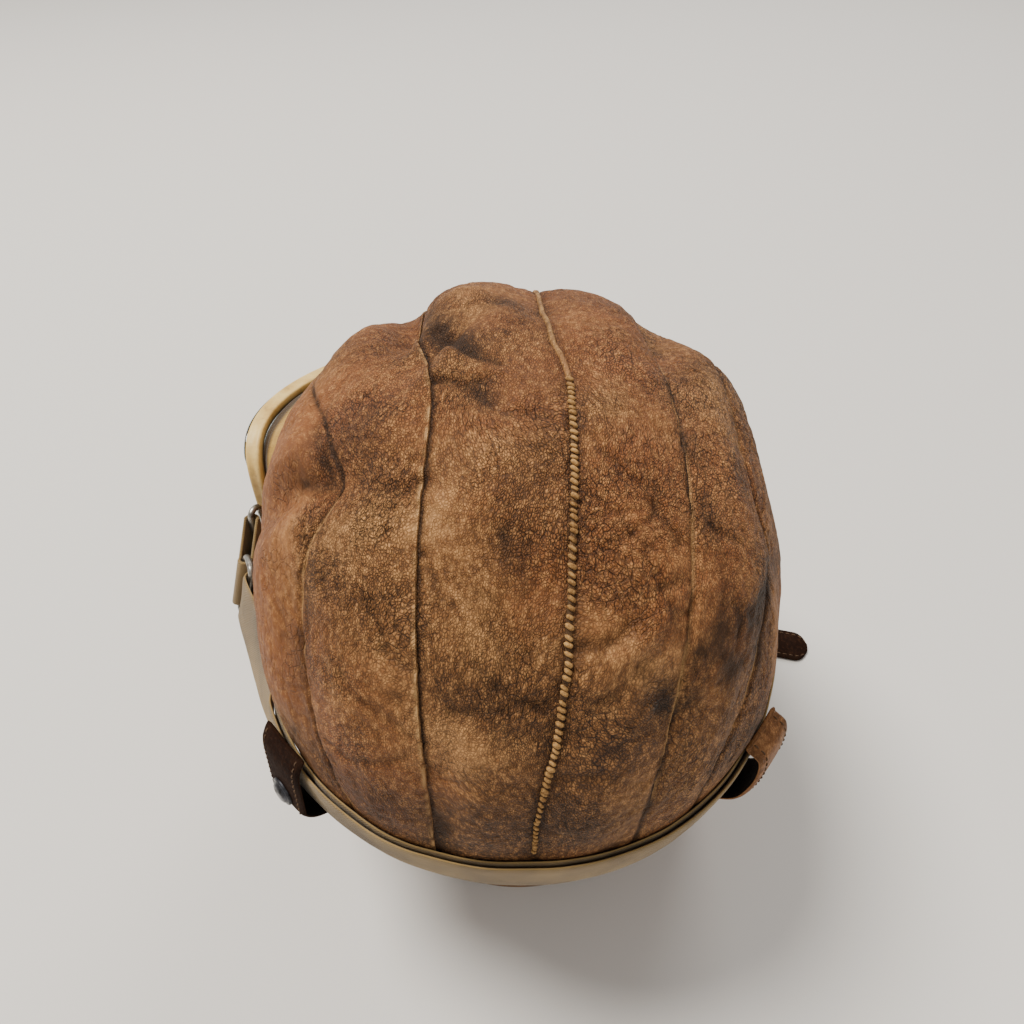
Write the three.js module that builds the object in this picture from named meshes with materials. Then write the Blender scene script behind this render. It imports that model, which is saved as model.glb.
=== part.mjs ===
import * as THREE from 'three';

// A leather flying helmet standing on its lower rims, with goggles pushed askew on the brow.
// Millimetres. +Z is up, +Y is the face, -Y the nape, +X the wearer's right.
// A turn is an angle round the vertical axis in degrees: 0 at the nape, 90 right, 180 face.
// A level is a height above the surface that the helmet stands on.

const QUARTER_TURN = 90;
const HALF_TURN = 180;
const DEGREE = Math.PI / HALF_TURN;

// Driving sizes of the crown and the lower wall
const HALF_WIDTH = 87.5;
const REAR_REACH = 101;
const FRONT_REACH = 108;
const CROWN_RISE = 94;
const WIDEST_LEVEL = 130;
const ROUNDNESS = 2.2;
const SEAM_LEVEL = 112;
const BROW_LEVEL = 150;
const LEATHER = 1.6;
const HEM = 3;
const SEAM_GAP = 0.3;
const PANEL_PUFF = 1.8;
const SEAM_PINCH_ANGLE = 6;
const EDGE_FADE = 25;
const FOLD_HEIGHT = 4;
const WELT_WIDTH = 2.6;
const WELT_HEIGHT = 1.5;
const WELT_LIFT = 0.5;
const BROW_BAND_WIDTH = 20;
const FLAP_LAP = 6;
const FLAP_REAR_TURN = 62;
const FLAP_LAP_FADE = 20;
const CORNER_TURN = 3;
const EAR_BULGE = 5.5;
const EAR_LEVEL = 66;
const EAR_SPREAD = 36;

// Driving sizes of the goggle strap and its loops
const WEBBING_WIDTH = 25;
const WEBBING = 1.2;
const TURNED_LENGTH = 14;
const STRAP_LEVEL = 120;
const STRAP_LIFT = 0.5;
const LAYER_GAP = 0.6;
const STRAP_SWING = 17;
const LEFT_END_TURN = 18;
const RIGHT_END_TURN = 6;
const LOOP_LAYER_TURN = 57;
const LOOP_WIDTH_LEFT = 20;
const LOOP_WIDTH_RIGHT = 19;
const LOOP_BULGE_LEFT = 8.6;
const LOOP_BULGE_RIGHT = 7.5;
const LOOP_TURN_LEFT = 46;
const LOOP_TURN_RIGHT = 51;
const LOOP_RISE = 6;
const LOOP_DROP_LEFT = 4;
const LOOP_DROP_RIGHT = 6.5;
const LOOP_LEATHER = 1.8;
const LOOP_SEAT_CURVE = 1.2;
const SNAP_RADIUS = 5;
const SNAP_HEIGHT = 1.4;

// Driving sizes of the goggles
const GOGGLE_MIDDLE = -24;
const GOGGLE_SPAN = 49;
const GOGGLE_HALF_HEIGHT = 31;
const GOGGLE_LEVEL = 124;
const GOGGLE_TILT = 0.13;
const GOGGLE_SQUARENESS = 4.6;
const GOGGLE_END_CURL = 5;
const RING_DROP = 13;
const NOSE_RISE = 14;
const NOSE_ANGLE = 9;
const CUSHION_CLEARANCE = 4;
const CUSHION_DEPTH = 11;
const CUSHION_WALL = 8;
const RIM_RECESS = 3;
const RIM_DEPTH = 6;
const RIM_WALL = 4.5;
const LENS = 1.6;
const LENS_OVERLAP = 1.5;
const LENS_REACH = 0.98;
const WIRE_RADIUS = 1.2;
const WIRE_CLEARANCE = 0.45;
const WIRE_CORNER = 1.8;
const SLIDE_LENGTH = 10;
const RING_LENGTH = 6;

// Driving sizes of the chin strap
const CHIN_WIDTH = 19;
const CHIN_LEATHER = 2;
const CHIN_LEVEL = 28;
const CHIN_SEAT_TURNS = [96, 104];
const CHIN_REACH_RIGHT = 157;
const CHIN_END_FRONT = 64;
const CHIN_REACH_FRONT = 106;
const CHIN_TIP_ROUNDING = 7;
const CHIN_LIFT = 1.3;

// Arcs over the crown and counts of faces
const TOP_ARC = 90;
const NAPE_ARC = -18;
const FACE_ARC = 180;
const PANEL_ROWS = 26;
const GOGGLE_STEPS = 44;
const BEND_STEPS = 5;

// Narrowing of the wall under the widest level. drop runs from 0 there to 1 at the surface.
const LOWER_WALL = [
  { drop: 0, side: 1, rear: 1 },
  { drop: 0.08, side: 1, rear: 0.995 },
  { drop: 0.14, side: 1, rear: 0.984 },
  { drop: 0.27, side: 0.995, rear: 0.94 },
  { drop: 0.54, side: 0.97, rear: 0.79 },
  { drop: 0.8, side: 0.955, rear: 0.66 },
  { drop: 1, side: 0.96, rear: 0.6 },
];

// Lower edge of the crown. rise runs from 0 at the seam level to 1 at the brow level.
const CROWN_EDGE = [
  { turn: 0, rise: 0 },
  { turn: 60, rise: 0 },
  { turn: 100, rise: 0 },
  { turn: 118, rise: 0.16 },
  { turn: 138, rise: 0.6 },
  { turn: 160, rise: 0.93 },
  { turn: 180, rise: 1 },
];

// Seams over the crown. arc is 0 at the nape, 90 on top and 180 at the face, and lean is the
// angle to the left (minus) or right of the middle.
const SEAMS = {
  left_outer: [
    { arc: -20, lean: -28 }, { arc: -6, lean: -30 }, { arc: 15, lean: -36.5 }, { arc: 39, lean: -37.3 },
    { arc: 50, lean: -34.6 }, { arc: 57, lean: -31.5 }, { arc: 64, lean: -31.3 }, { arc: 73, lean: -33.7 },
    { arc: 97, lean: -42 }, { arc: 115, lean: -42 }, { arc: 140, lean: -36 }, { arc: 180, lean: -26 },
  ],
  left: [
    { arc: -20, lean: -13.8 }, { arc: 19, lean: -14.5 }, { arc: 60, lean: -15 }, { arc: 74, lean: -14.6 },
    { arc: 85, lean: -16 }, { arc: 101, lean: -20 }, { arc: 116, lean: -21.6 }, { arc: 180, lean: -12 },
  ],
  middle: [
    { arc: -20, lean: 2 }, { arc: 7, lean: 2.4 }, { arc: 27, lean: 5.3 }, { arc: 60, lean: 7.6 },
    { arc: 77, lean: 8 }, { arc: 83, lean: 7.6 }, { arc: 93, lean: 5.5 }, { arc: 116, lean: 4 },
    { arc: 180, lean: 1 },
  ],
  right: [
    { arc: -20, lean: 18 }, { arc: -4, lean: 19.2 }, { arc: 18, lean: 21.8 }, { arc: 46, lean: 25.7 },
    { arc: 63, lean: 27.1 }, { arc: 88, lean: 27.5 }, { arc: 110, lean: 28 }, { arc: 180, lean: 13 },
  ],
  right_outer: [
    { arc: -20, lean: 30 }, { arc: 0, lean: 33 }, { arc: 20, lean: 40 }, { arc: 40, lean: 46.5 },
    { arc: 50, lean: 50 }, { arc: 64, lean: 46 }, { arc: 90, lean: 44 }, { arc: 140, lean: 37 },
    { arc: 180, lean: 26 },
  ],
};

// Dents (minus) and folds of the crown. arc and lean place the middle of each, turn is the
// direction of its long axis, long and wide are its half sizes, all in degrees, and high is
// its height as a share of FOLD_HEIGHT.
const FOLDS = [
  { arc: 114, lean: -23.5, turn: 0, long: 16, wide: 4, high: -2.4 },
  { arc: 118, lean: -10, turn: 0, long: 18, wide: 8, high: 0.5 },
  { arc: 97, lean: -13, turn: 35, long: 15, wide: 4, high: -1.1 },
  { arc: 88, lean: -12, turn: 30, long: 10, wide: 4, high: 0.6 },
  { arc: 112, lean: 29, turn: 0, long: 15, wide: 5, high: -1.7 },
  { arc: 98, lean: -46, turn: 0, long: 16, wide: 11, high: 1.0 },
  { arc: 122, lean: -36, turn: 0, long: 16, wide: 9, high: 0.7 },
  { arc: 112, lean: 43, turn: 0, long: 18, wide: 9, high: 1.1 },
  { arc: 112, lean: 3, turn: 0, long: 12, wide: 4, high: -0.6 },
  { arc: 64, lean: -42, turn: 90, long: 20, wide: 4, high: -1 },
  { arc: 74, lean: -45, turn: 90, long: 16, wide: 6, high: 0.5 },
  { arc: 52, lean: -42, turn: 90, long: 18, wide: 7, high: 0.55 },
  { arc: 58, lean: -4, turn: 0, long: 8, wide: 6, high: 0.4 },
  { arc: 40, lean: -2, turn: 20, long: 10, wide: 6, high: -0.5 },
  { arc: 27, lean: 13, turn: -45, long: 12, wide: 4, high: 0.55 },
  { arc: 24, lean: 17, turn: -45, long: 10, wide: 5, high: -0.6 },
  { arc: 10, lean: -12, turn: 0, long: 12, wide: 3, high: -0.6 },
  { arc: 45, lean: 60, turn: 0, long: 22, wide: 10, high: -0.6 },
  { arc: 20, lean: -40, turn: 0, long: 16, wide: 6, high: -0.5 },
];

// The ear flaps' front edge, from drop 0 at the top to 1 at the lower rim
const FLAP_FRONT = [
  { drop: 0, turn: 129 },
  { drop: 0.4, turn: 124 },
  { drop: 0.75, turn: 119 },
  { drop: 0.92, turn: 114 },
  { drop: 1, turn: 108 },
];

// The goggle strap from the goggles' right end round the nape to the slide on the left. Its
// ends keep their turns from the goggles' ends. swing is its distance from the wall as a share
// of STRAP_SWING, level its top edge as a share of STRAP_LEVEL, and flare how far its lower
// edge stands out, as a share of its width.
const SLIDE_TURN = GOGGLE_SPAN - GOGGLE_MIDDLE - HALF_TURN + LEFT_END_TURN;
const STRAP_RIGHT_TURN = HALF_TURN - GOGGLE_MIDDLE - GOGGLE_SPAN - RIGHT_END_TURN;
const STRAP_ROUTE = [
  { turn: SLIDE_TURN - 8, swing: 0.86, level: 1.08, flare: 0.36 },
  { turn: SLIDE_TURN - 1, swing: 0.6, level: 1.07, flare: 0.34 },
  { turn: SLIDE_TURN + 7, swing: 0.3, level: 1.055, flare: 0.29 },
  { turn: -70, swing: 0.08, level: 1.035, flare: 0.22 },
  { turn: -58, swing: 0.02, level: 1.025, flare: 0.13 },
  { turn: -40, swing: 0, level: 1.01, flare: 0.03 },
  { turn: -20, swing: 0, level: 0.985, flare: 0 },
  { turn: 0, swing: 0, level: 0.98, flare: 0 },
  { turn: 40, swing: 0, level: 0.98, flare: 0 },
  { turn: 60, swing: 0.06, level: 0.975, flare: 0 },
  { turn: 78, swing: 0.22, level: 0.96, flare: 0 },
  { turn: 105, swing: 0.34, level: 0.96, flare: 0 },
  { turn: STRAP_RIGHT_TURN - 19, swing: 0.66, level: 0.99, flare: 0 },
  { turn: STRAP_RIGHT_TURN, swing: 0.88, level: 1.02, flare: 0 },
];

// The chin strap on the surface, from the left flap to the buckle and on to its free end.
// side and front are shares of HALF_WIDTH and CHIN_REACH_FRONT, level a share of CHIN_WIDTH,
// and upright 1 where the strap stands on edge and 0 where it lies flat.
const CHIN_ROUTE = [
  { side: -1.0, front: 0.5, level: 1.05, upright: 0.85 },
  { side: -0.82, front: 0.77, level: 0.4, upright: 0.35 },
  { side: -0.45, front: 0.94, level: 0, upright: 0 },
  { side: 0, front: 0.99, level: 0, upright: 0 },
  { side: 0.35, front: 0.95, level: 0, upright: 0 },
  { side: 0.64, front: 0.87, level: 0, upright: 0 },
  { side: 0.91, front: 0.8, level: 0.43, upright: 0 },
  { side: 1.08, front: 0.76, level: 0.43, upright: 0 },
  { side: 1.25, front: 0.72, level: 0.25, upright: 0 },
  { side: 1.44, front: 0.68, level: 0, upright: 0 },
  { side: 1.55, front: 0.655, level: 0, upright: 0 },
];
const BUCKLE_IN = CHIN_ROUTE[5];
const BUCKLE_OUT = CHIN_ROUTE[6];

// The tab from the right flap to the buckle, with the same columns
const TAB_ROUTE = [
  { side: 1.1, front: 0.4, level: 0.7, upright: 0.65 },
  { side: 1.17, front: 0.56, level: 0, upright: 0.05 },
  { side: 1.14, front: 0.69, level: 0, upright: 0 },
  { side: 1.05, front: 0.757, level: 0, upright: 0 },
];

// Smooth value of one column of a table at a place along its key column
function along(rows, key, column, place) {
  const last = rows.length - 1;
  if (place <= rows[0][key]) return rows[0][column];
  if (place >= rows[last][key]) return rows[last][column];
  const next = rows.findIndex((row) => row[key] > place);
  const from = rows[next - 1];
  const to = rows[next];
  const before = rows[Math.max(next - 2, 0)];
  const after = rows[Math.min(next + 1, last)];
  const span = to[key] - from[key];
  const slopeFrom = (to[column] - before[column]) / (to[key] - before[key]);
  const slopeTo = (after[column] - from[column]) / (after[key] - from[key]);
  const t = (place - from[key]) / span;
  const t2 = t * t;
  const t3 = t2 * t;
  return (2 * t3 - 3 * t2 + 1) * from[column] + (t3 - 2 * t2 + t) * span * slopeFrom
    + (3 * t2 - 2 * t3) * to[column] + (t3 - t2) * span * slopeTo;
}

function smooth(t) {
  const held = Math.min(Math.max(t, 0), 1);
  return held * held * (3 - 2 * held);
}

function turnOf(x, y) {
  return Math.atan2(x, -y) / DEGREE;
}

function outward(turn) {
  return new THREE.Vector3(Math.sin(turn * DEGREE), -Math.cos(turn * DEGREE), 0);
}

// The crown's plain form

// Distance from the axis to the wall at the widest level
function widestRadius(turn) {
  const side = Math.abs(Math.sin(turn * DEGREE)) / HALF_WIDTH;
  const facing = -Math.cos(turn * DEGREE);
  const fore = Math.abs(facing) / (facing < 0 ? REAR_REACH : FRONT_REACH);
  return (side ** ROUNDNESS + fore ** ROUNDNESS) ** (-1 / ROUNDNESS);
}

// Distance from the axis to the outer face of the plain form at any level
function shellRadius(turn, level) {
  if (level >= WIDEST_LEVEL) {
    const climb = Math.min((level - WIDEST_LEVEL) / CROWN_RISE, 1);
    return widestRadius(turn) * (1 - climb ** ROUNDNESS) ** (1 / ROUNDNESS);
  }
  const drop = 1 - level / WIDEST_LEVEL;
  const rearward = smooth(Math.cos(turn * DEGREE));
  const side = along(LOWER_WALL, 'drop', 'side', drop);
  const rear = along(LOWER_WALL, 'drop', 'rear', drop);
  return widestRadius(turn) * (side + (rear - side) * rearward);
}

// Distance from the crown's centre to the plain form in a direction
function plainReach(direction) {
  const flat = Math.hypot(direction.x, direction.y);
  const turn = turnOf(direction.x, direction.y);
  if (direction.z >= 0) {
    const spread = (flat / widestRadius(turn)) ** ROUNDNESS + (direction.z / CROWN_RISE) ** ROUNDNESS;
    return spread ** (-1 / ROUNDNESS);
  }
  let reach = widestRadius(turn) / flat;
  for (let pass = 0; pass < 4; pass += 1) {
    reach = shellRadius(turn, WIDEST_LEVEL + direction.z * reach) / flat;
  }
  return reach;
}

function edgeLevel(turn) {
  const rise = along(CROWN_EDGE, 'turn', 'rise', Math.abs(turn));
  return SEAM_LEVEL + (BROW_LEVEL - SEAM_LEVEL) * rise;
}

// Arc over the crown and lean to the side of a direction, in degrees
function arcOf(direction) {
  const arc = Math.atan2(direction.z, -direction.y) / DEGREE;
  return arc < -QUARTER_TURN ? arc + 2 * HALF_TURN : arc;
}

function leanOf(direction) {
  return Math.asin(Math.min(Math.max(direction.x, -1), 1)) / DEGREE;
}

function directionAt(arc, lean) {
  const flat = Math.cos(lean * DEGREE);
  return new THREE.Vector3(
    Math.sin(lean * DEGREE),
    -flat * Math.cos(arc * DEGREE),
    flat * Math.sin(arc * DEGREE),
  );
}

// Height of the puffed panels and of the folds over the plain form
function relief(direction) {
  const arc = arcOf(direction);
  const lean = leanOf(direction);
  const level = WIDEST_LEVEL + direction.z * plainReach(direction);
  const fade = smooth((level - edgeLevel(turnOf(direction.x, direction.y))) / EDGE_FADE);
  const nearest = Math.min(...Object.values(SEAMS).map(
    (rows) => Math.abs(lean - along(rows, 'arc', 'lean', arc)),
  ));
  const puff = PANEL_PUFF * (1 - Math.exp(-((nearest / SEAM_PINCH_ANGLE) ** 2)));
  let folds = 0;
  for (const fold of FOLDS) {
    const alongArc = (arc - fold.arc) * Math.cos(lean * DEGREE);
    const alongLean = lean - fold.lean;
    const cos = Math.cos(fold.turn * DEGREE);
    const sin = Math.sin(fold.turn * DEGREE);
    const long = (alongArc * cos + alongLean * sin) / fold.long;
    const wide = (alongLean * cos - alongArc * sin) / fold.wide;
    folds += fold.high * FOLD_HEIGHT * Math.exp(-long * long - wide * wide);
  }
  return (puff + folds) * fade;
}

function crownPoint(direction, depth) {
  const reach = plainReach(direction) + relief(direction) - depth;
  return new THREE.Vector3(0, 0, WIDEST_LEVEL).addScaledVector(direction, reach);
}

// Point of the outer face of the crown at a turn and level, moved out by a distance
function crownPointAt(turn, level, out) {
  let radius = shellRadius(turn, level);
  for (let pass = 0; pass < 3; pass += 1) {
    const direction = outward(turn).multiplyScalar(radius);
    direction.z = level - WIDEST_LEVEL;
    direction.normalize();
    radius = shellRadius(turn, level) + relief(direction);
  }
  const point = outward(turn).multiplyScalar(radius + out);
  point.z = level;
  return point;
}

function wallPoint(turn, level, out) {
  const point = outward(turn).multiplyScalar(shellRadius(turn, level) + out);
  point.z = level;
  return point;
}

// Closed bodies from grids of points

function bodyFrom(points, triangles) {
  let volume = 0;
  for (const [a, b, c] of triangles) {
    volume += points[a].dot(new THREE.Vector3().crossVectors(points[b], points[c]));
  }
  const geometry = new THREE.BufferGeometry();
  geometry.setAttribute('position', new THREE.Float32BufferAttribute(
    points.flatMap((point) => point.toArray()),
    3,
  ));
  geometry.setIndex(triangles.flatMap(([a, b, c]) => (volume < 0 ? [a, c, b] : [a, b, c])));
  geometry.computeVertexNormals();
  return geometry;
}

// A sheet with an outer and an inner face, each a function of two shares from 0 to 1
function sheet(rows, columns, outer, inner) {
  const points = [];
  for (const face of [outer, inner]) {
    for (let row = 0; row <= rows; row += 1) {
      for (let column = 0; column <= columns; column += 1) {
        points.push(face(row / rows, column / columns));
      }
    }
  }
  const width = columns + 1;
  const size = (rows + 1) * width;
  const triangles = [];
  const quad = (a, b, c, d) => triangles.push([a, b, c], [a, c, d]);
  for (let row = 0; row < rows; row += 1) {
    for (let column = 0; column < columns; column += 1) {
      const a = row * width + column;
      quad(a, a + 1, a + 1 + width, a + width);
      quad(size + a, size + a + width, size + a + 1 + width, size + a + 1);
    }
  }
  const rim = [];
  for (let column = 0; column < columns; column += 1) rim.push(column);
  for (let row = 0; row < rows; row += 1) rim.push(row * width + columns);
  for (let column = columns; column > 0; column -= 1) rim.push(rows * width + column);
  for (let row = rows; row > 0; row -= 1) rim.push(row * width);
  rim.forEach((a, index) => {
    const b = rim[(index + 1) % rim.length];
    quad(a, size + a, size + b, b);
  });
  return bodyFrom(points, triangles);
}

// A section swept through stations, each with its middle and its two directions
function sweep(stations, section, closed) {
  const sides = section.length;
  const points = stations.flatMap((station) => section.map(([across, out]) => (
    station.middle.clone()
      .addScaledVector(station.across, across * (station.stretch ?? 1))
      .addScaledVector(station.out, out)
  )));
  const triangles = [];
  const steps = closed ? stations.length : stations.length - 1;
  for (let step = 0; step < steps; step += 1) {
    const here = step * sides;
    const there = ((step + 1) % stations.length) * sides;
    for (let side = 0; side < sides; side += 1) {
      const next = (side + 1) % sides;
      triangles.push([here + side, here + next, there + next], [here + side, there + next, there + side]);
    }
  }
  if (!closed) {
    const end = (stations.length - 1) * sides;
    for (let side = 1; side < sides - 1; side += 1) {
      triangles.push([0, side + 1, side], [end, end + side, end + side + 1]);
    }
  }
  return bodyFrom(points, triangles);
}

function rectangle(width, height) {
  const across = width / 2;
  const out = height / 2;
  return [[-across, -out], [across, -out], [across, out], [-across, out]];
}

function ring(radius, sides) {
  return Array.from({ length: sides }, (_, side) => {
    const angle = (2 * Math.PI * side) / sides;
    return [radius * Math.cos(angle), radius * Math.sin(angle)];
  });
}

// Stations along points, with one direction across the run given at each
function stationsAlong(points, acrossAt, closed) {
  const last = points.length - 1;
  return points.map((middle, index) => {
    const before = points[closed ? (index + last) % (last + 1) : Math.max(index - 1, 0)];
    const after = points[closed ? (index + 1) % (last + 1) : Math.min(index + 1, last)];
    const run = after.clone().sub(before).normalize();
    const across = acrossAt(index, run).clone();
    across.addScaledVector(run, -across.dot(run)).normalize();
    return { middle, across, out: new THREE.Vector3().crossVectors(run, across) };
  });
}

const helmet = new THREE.Group();

function add(name, geometry, colour, roughness, metalness) {
  const mesh = new THREE.Mesh(
    geometry,
    new THREE.MeshStandardMaterial({ color: colour, roughness, metalness }),
  );
  mesh.name = name;
  helmet.add(mesh);
}

const LEATHER_BROWN = 0x6b4a30;
const LEATHER_DARK = 0x3a2a20;
const LEATHER_TAN = 0x8a6642;
const WEBBING_OLIVE = 0x8c7c58;
const RIM_CREAM = 0xd8c79c;
const CUSHION_OCHRE = 0xb08040;
const LENS_GREY = 0x8fa3a0;
const STEEL = 0x8a8478;

// The six panels of the crown

// Arc between the top and a far arc at which a line over the crown comes down to a level
function arcDownTo(leanAt, far, levelAt) {
  let above = TOP_ARC;
  let below = far;
  for (let pass = 0; pass < 30; pass += 1) {
    const middle = (above + below) / 2;
    const direction = directionAt(middle, leanAt(middle));
    const level = WIDEST_LEVEL + direction.z * plainReach(direction);
    if (level > levelAt(turnOf(direction.x, direction.y))) above = middle;
    else below = middle;
  }
  return (above + below) / 2;
}

// A line over the crown between two seams, 0 on the first and 1 on the second, which starts
// at the nape's edge and ends at the brow's
function lineBetween(first, second, across) {
  const leanAt = (arc) => {
    const from = along(first, 'arc', 'lean', arc);
    return from + (along(second, 'arc', 'lean', arc) - from) * across;
  };
  const start = arcDownTo(leanAt, NAPE_ARC, edgeLevel);
  const end = arcDownTo(leanAt, FACE_ARC, edgeLevel);
  return (share) => {
    const arc = start + (end - start) * share;
    return directionAt(arc, leanAt(arc));
  };
}

function seamLine(rows) {
  return lineBetween(rows, rows, 0);
}

// The lower edge of an outer panel, which starts a little away from the seam's own ends
function edgeCurve(seam, side) {
  const rear = seam(0);
  const front = seam(1);
  const rearTurn = Math.abs(turnOf(rear.x, rear.y)) + CORNER_TURN;
  const frontTurn = Math.abs(turnOf(front.x, front.y)) - CORNER_TURN;
  return (share) => {
    const turn = rearTurn + (frontTurn - rearTurn) * share;
    const level = edgeLevel(turn);
    const point = outward(turn * side).multiplyScalar(shellRadius(turn, level));
    point.z = level - WIDEST_LEVEL;
    return point.normalize();
  };
}

// A panel between two lines over the crown, or between two seams when given as tables
function panel(first, second, columns, lines) {
  const face = (depth) => (share, across) => {
    const from = first(share);
    const to = second(share);
    const trim = SEAM_GAP / 2 / (from.angleTo(to) * HALF_WIDTH);
    const held = trim + (1 - 2 * trim) * across;
    const direction = lines ? lines(held)(share) : from.lerp(to, held).normalize();
    return crownPoint(direction, depth);
  };
  return sheet(PANEL_ROWS, columns, face(0), face(LEATHER));
}

function panelBetween(first, second, columns) {
  const lines = (across) => lineBetween(first, second, across);
  return panel(seamLine(first), seamLine(second), columns, lines);
}

const leftSeam = seamLine(SEAMS.left_outer);
const rightSeam = seamLine(SEAMS.right_outer);

add('gore_left_outer', panel(edgeCurve(leftSeam, -1), leftSeam, 8), LEATHER_BROWN, 0.7, 0);
add('gore_left_middle', panelBetween(SEAMS.left_outer, SEAMS.left, 5), LEATHER_BROWN, 0.7, 0);
add('gore_left_inner', panelBetween(SEAMS.left, SEAMS.middle, 5), LEATHER_BROWN, 0.7, 0);
add('gore_right_inner', panelBetween(SEAMS.middle, SEAMS.right, 5), LEATHER_BROWN, 0.7, 0);
add('gore_right_middle', panelBetween(SEAMS.right, SEAMS.right_outer, 4), LEATHER_BROWN, 0.7, 0);
add('gore_right_outer', panel(rightSeam, edgeCurve(rightSeam, 1), 8), LEATHER_BROWN, 0.7, 0);

// The welt that covers the middle seam
function weltBody() {
  const leanAt = (arc) => along(SEAMS.middle, 'arc', 'lean', arc);
  const whole = seamLine(SEAMS.middle);
  const strapTop = STRAP_LEVEL + WELT_WIDTH / 2;
  const start = arcDownTo(leanAt, NAPE_ARC, () => strapTop);
  const end = arcDownTo(leanAt, FACE_ARC, () => BROW_LEVEL + WELT_WIDTH / 2);
  const inner = Array.from({ length: PANEL_ROWS + 1 }, (_, row) => whole(row / PANEL_ROWS))
    .filter((direction) => arcOf(direction) > start + 1 && arcOf(direction) < end - 1);
  const directions = [directionAt(start, leanAt(start)), ...inner, directionAt(end, leanAt(end))];
  const points = directions.map((direction) => crownPoint(direction, -WELT_LIFT));
  const stations = stationsAlong(points, () => new THREE.Vector3(1, 0, 0), false);
  stations.forEach((station, index) => {
    station.out = directions[index];
    station.across.addScaledVector(station.out, -station.across.dot(station.out)).normalize();
  });
  const half = WELT_WIDTH / 2;
  const section = [[-half, 0], [half, 0], [half * 0.6, WELT_HEIGHT * 0.8], [0, WELT_HEIGHT],
    [-half * 0.6, WELT_HEIGHT * 0.8]];
  return sweep(stations, section, false);
}
add('crown_welt', weltBody(), LEATHER_TAN, 0.65, 0);

// The brow band between the two ear flaps, under the crown's front edge
function flapFrontTurn(drop) {
  return along(FLAP_FRONT, 'drop', 'turn', drop);
}

function browBand() {
  const start = flapFrontTurn(0) + SEAM_GAP;
  const face = (depth) => (share, across) => {
    const turn = start + 2 * (HALF_TURN - start) * share;
    const mirrored = turn > HALF_TURN ? turn - 2 * HALF_TURN : turn;
    const slope = Math.max(edgeLevel(mirrored) - WIDEST_LEVEL, 0) / widestRadius(mirrored);
    const top = edgeLevel(mirrored) - SEAM_GAP - LEATHER * slope;
    return wallPoint(mirrored, top - BROW_BAND_WIDTH * across, -depth);
  };
  return sheet(20, 2, face(0), face(LEATHER));
}
add('brow_band', browBand(), LEATHER_BROWN, 0.7, 0);

// An ear flap, lapped over the crown's lower edge, with its ear swelling and a hem turned out
function earFlap(side) {
  const face = (inner) => (share, across) => {
    const rear = FLAP_REAR_TURN + SEAM_GAP / 2;
    const turn = rear + (flapFrontTurn(share) - rear) * across;
    const top = edgeLevel(turn) + FLAP_LAP * smooth((flapFrontTurn(0) - turn) / FLAP_LAP_FADE);
    const level = top * (1 - share);
    const hem = (HEM - LEATHER) * smooth(1 - level / HEM / 2);
    return wallPoint(turn * side, level, flapLift(turn, level) + (inner ? -LEATHER : hem));
  };
  return sheet(10, 9, face(false), face(true));
}

// How far a flap's outer face stands off the wall: its leather, its ear swelling and the puff
// of the crown under its lap
function flapLift(turn, level) {
  const ear = Math.hypot((turn - QUARTER_TURN) * DEGREE * HALF_WIDTH, level - EAR_LEVEL) / EAR_SPREAD;
  const above = Math.max(level - edgeLevel(turn), 0);
  return SEAM_GAP + LEATHER + EAR_BULGE * Math.exp(-(ear ** 2)) + PANEL_PUFF * smooth(above / EDGE_FADE);
}
add('ear_flap_left', earFlap(-1), LEATHER_BROWN, 0.7, 0);
add('ear_flap_right', earFlap(1), LEATHER_TAN, 0.65, 0);

// The neck curtain between the ear flaps, whose rear edges lap over it
function neckCurtain() {
  const reach = FLAP_REAR_TURN + FLAP_LAP / HALF_WIDTH / DEGREE;
  const face = (inner) => (share, across) => {
    const turn = -reach + 2 * reach * across;
    const level = (SEAM_LEVEL - SEAM_GAP) * (1 - share);
    const thickness = LEATHER + (HEM - LEATHER) * smooth(1 - level / HEM / 2);
    return wallPoint(turn, level, inner ? -thickness : 0);
  };
  return sheet(8, 16, face(false), face(true));
}
add('neck_curtain', neckCurtain(), LEATHER_BROWN, 0.7, 0);

// The goggle strap

// A place on the strap: its turn, its share of the width from the top edge, and its lift
function strapPlace(turn, across, lift) {
  const flare = along(STRAP_ROUTE, 'turn', 'flare', turn);
  const top = STRAP_LEVEL * along(STRAP_ROUTE, 'turn', 'level', turn);
  const level = top - WEBBING_WIDTH * Math.sqrt(1 - flare * flare) * across;
  const swing = STRAP_SWING * along(STRAP_ROUTE, 'turn', 'swing', turn);
  return crownPointAt(turn, level, swing + WEBBING_WIDTH * flare * across + STRAP_LIFT + lift);
}

// A band on edge through lines of points, each line running from its top to its lower edge
function band(lines, thickness) {
  const last = lines.length - 1;
  const face = (side) => (share, across) => {
    const index = Math.round(share * last);
    const line = lines[index];
    const run = lines[Math.min(index + 1, last)][0].clone().sub(lines[Math.max(index - 1, 0)][0]);
    const normal = new THREE.Vector3(run.y, -run.x, 0).normalize();
    const point = line[Math.round(across * (line.length - 1))];
    return point.clone().addScaledVector(normal, side * thickness / 2);
  };
  return sheet(last, lines[0].length - 1, face(1), face(-1));
}

// Points of a band's end that turns back round an upright bar
function turnedEnd(bar, from, radius, towards) {
  const start = Math.atan2(from.y - bar.y, from.x - bar.x);
  return Array.from({ length: BEND_STEPS }, (_, step) => {
    const angle = start + towards * Math.PI * ((step + 1) / BEND_STEPS);
    return new THREE.Vector3(bar.x + radius * Math.cos(angle), bar.y + radius * Math.sin(angle), from.z);
  });
}

const OUTER_LIFT = WEBBING * 1.5 + LAYER_GAP;
const INNER_LIFT = WEBBING / 2;
const BAR_BEND = (WIRE_RADIUS + WIRE_CLEARANCE + WEBBING / 2) / Math.cos(Math.PI / 2 / BEND_STEPS);

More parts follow.
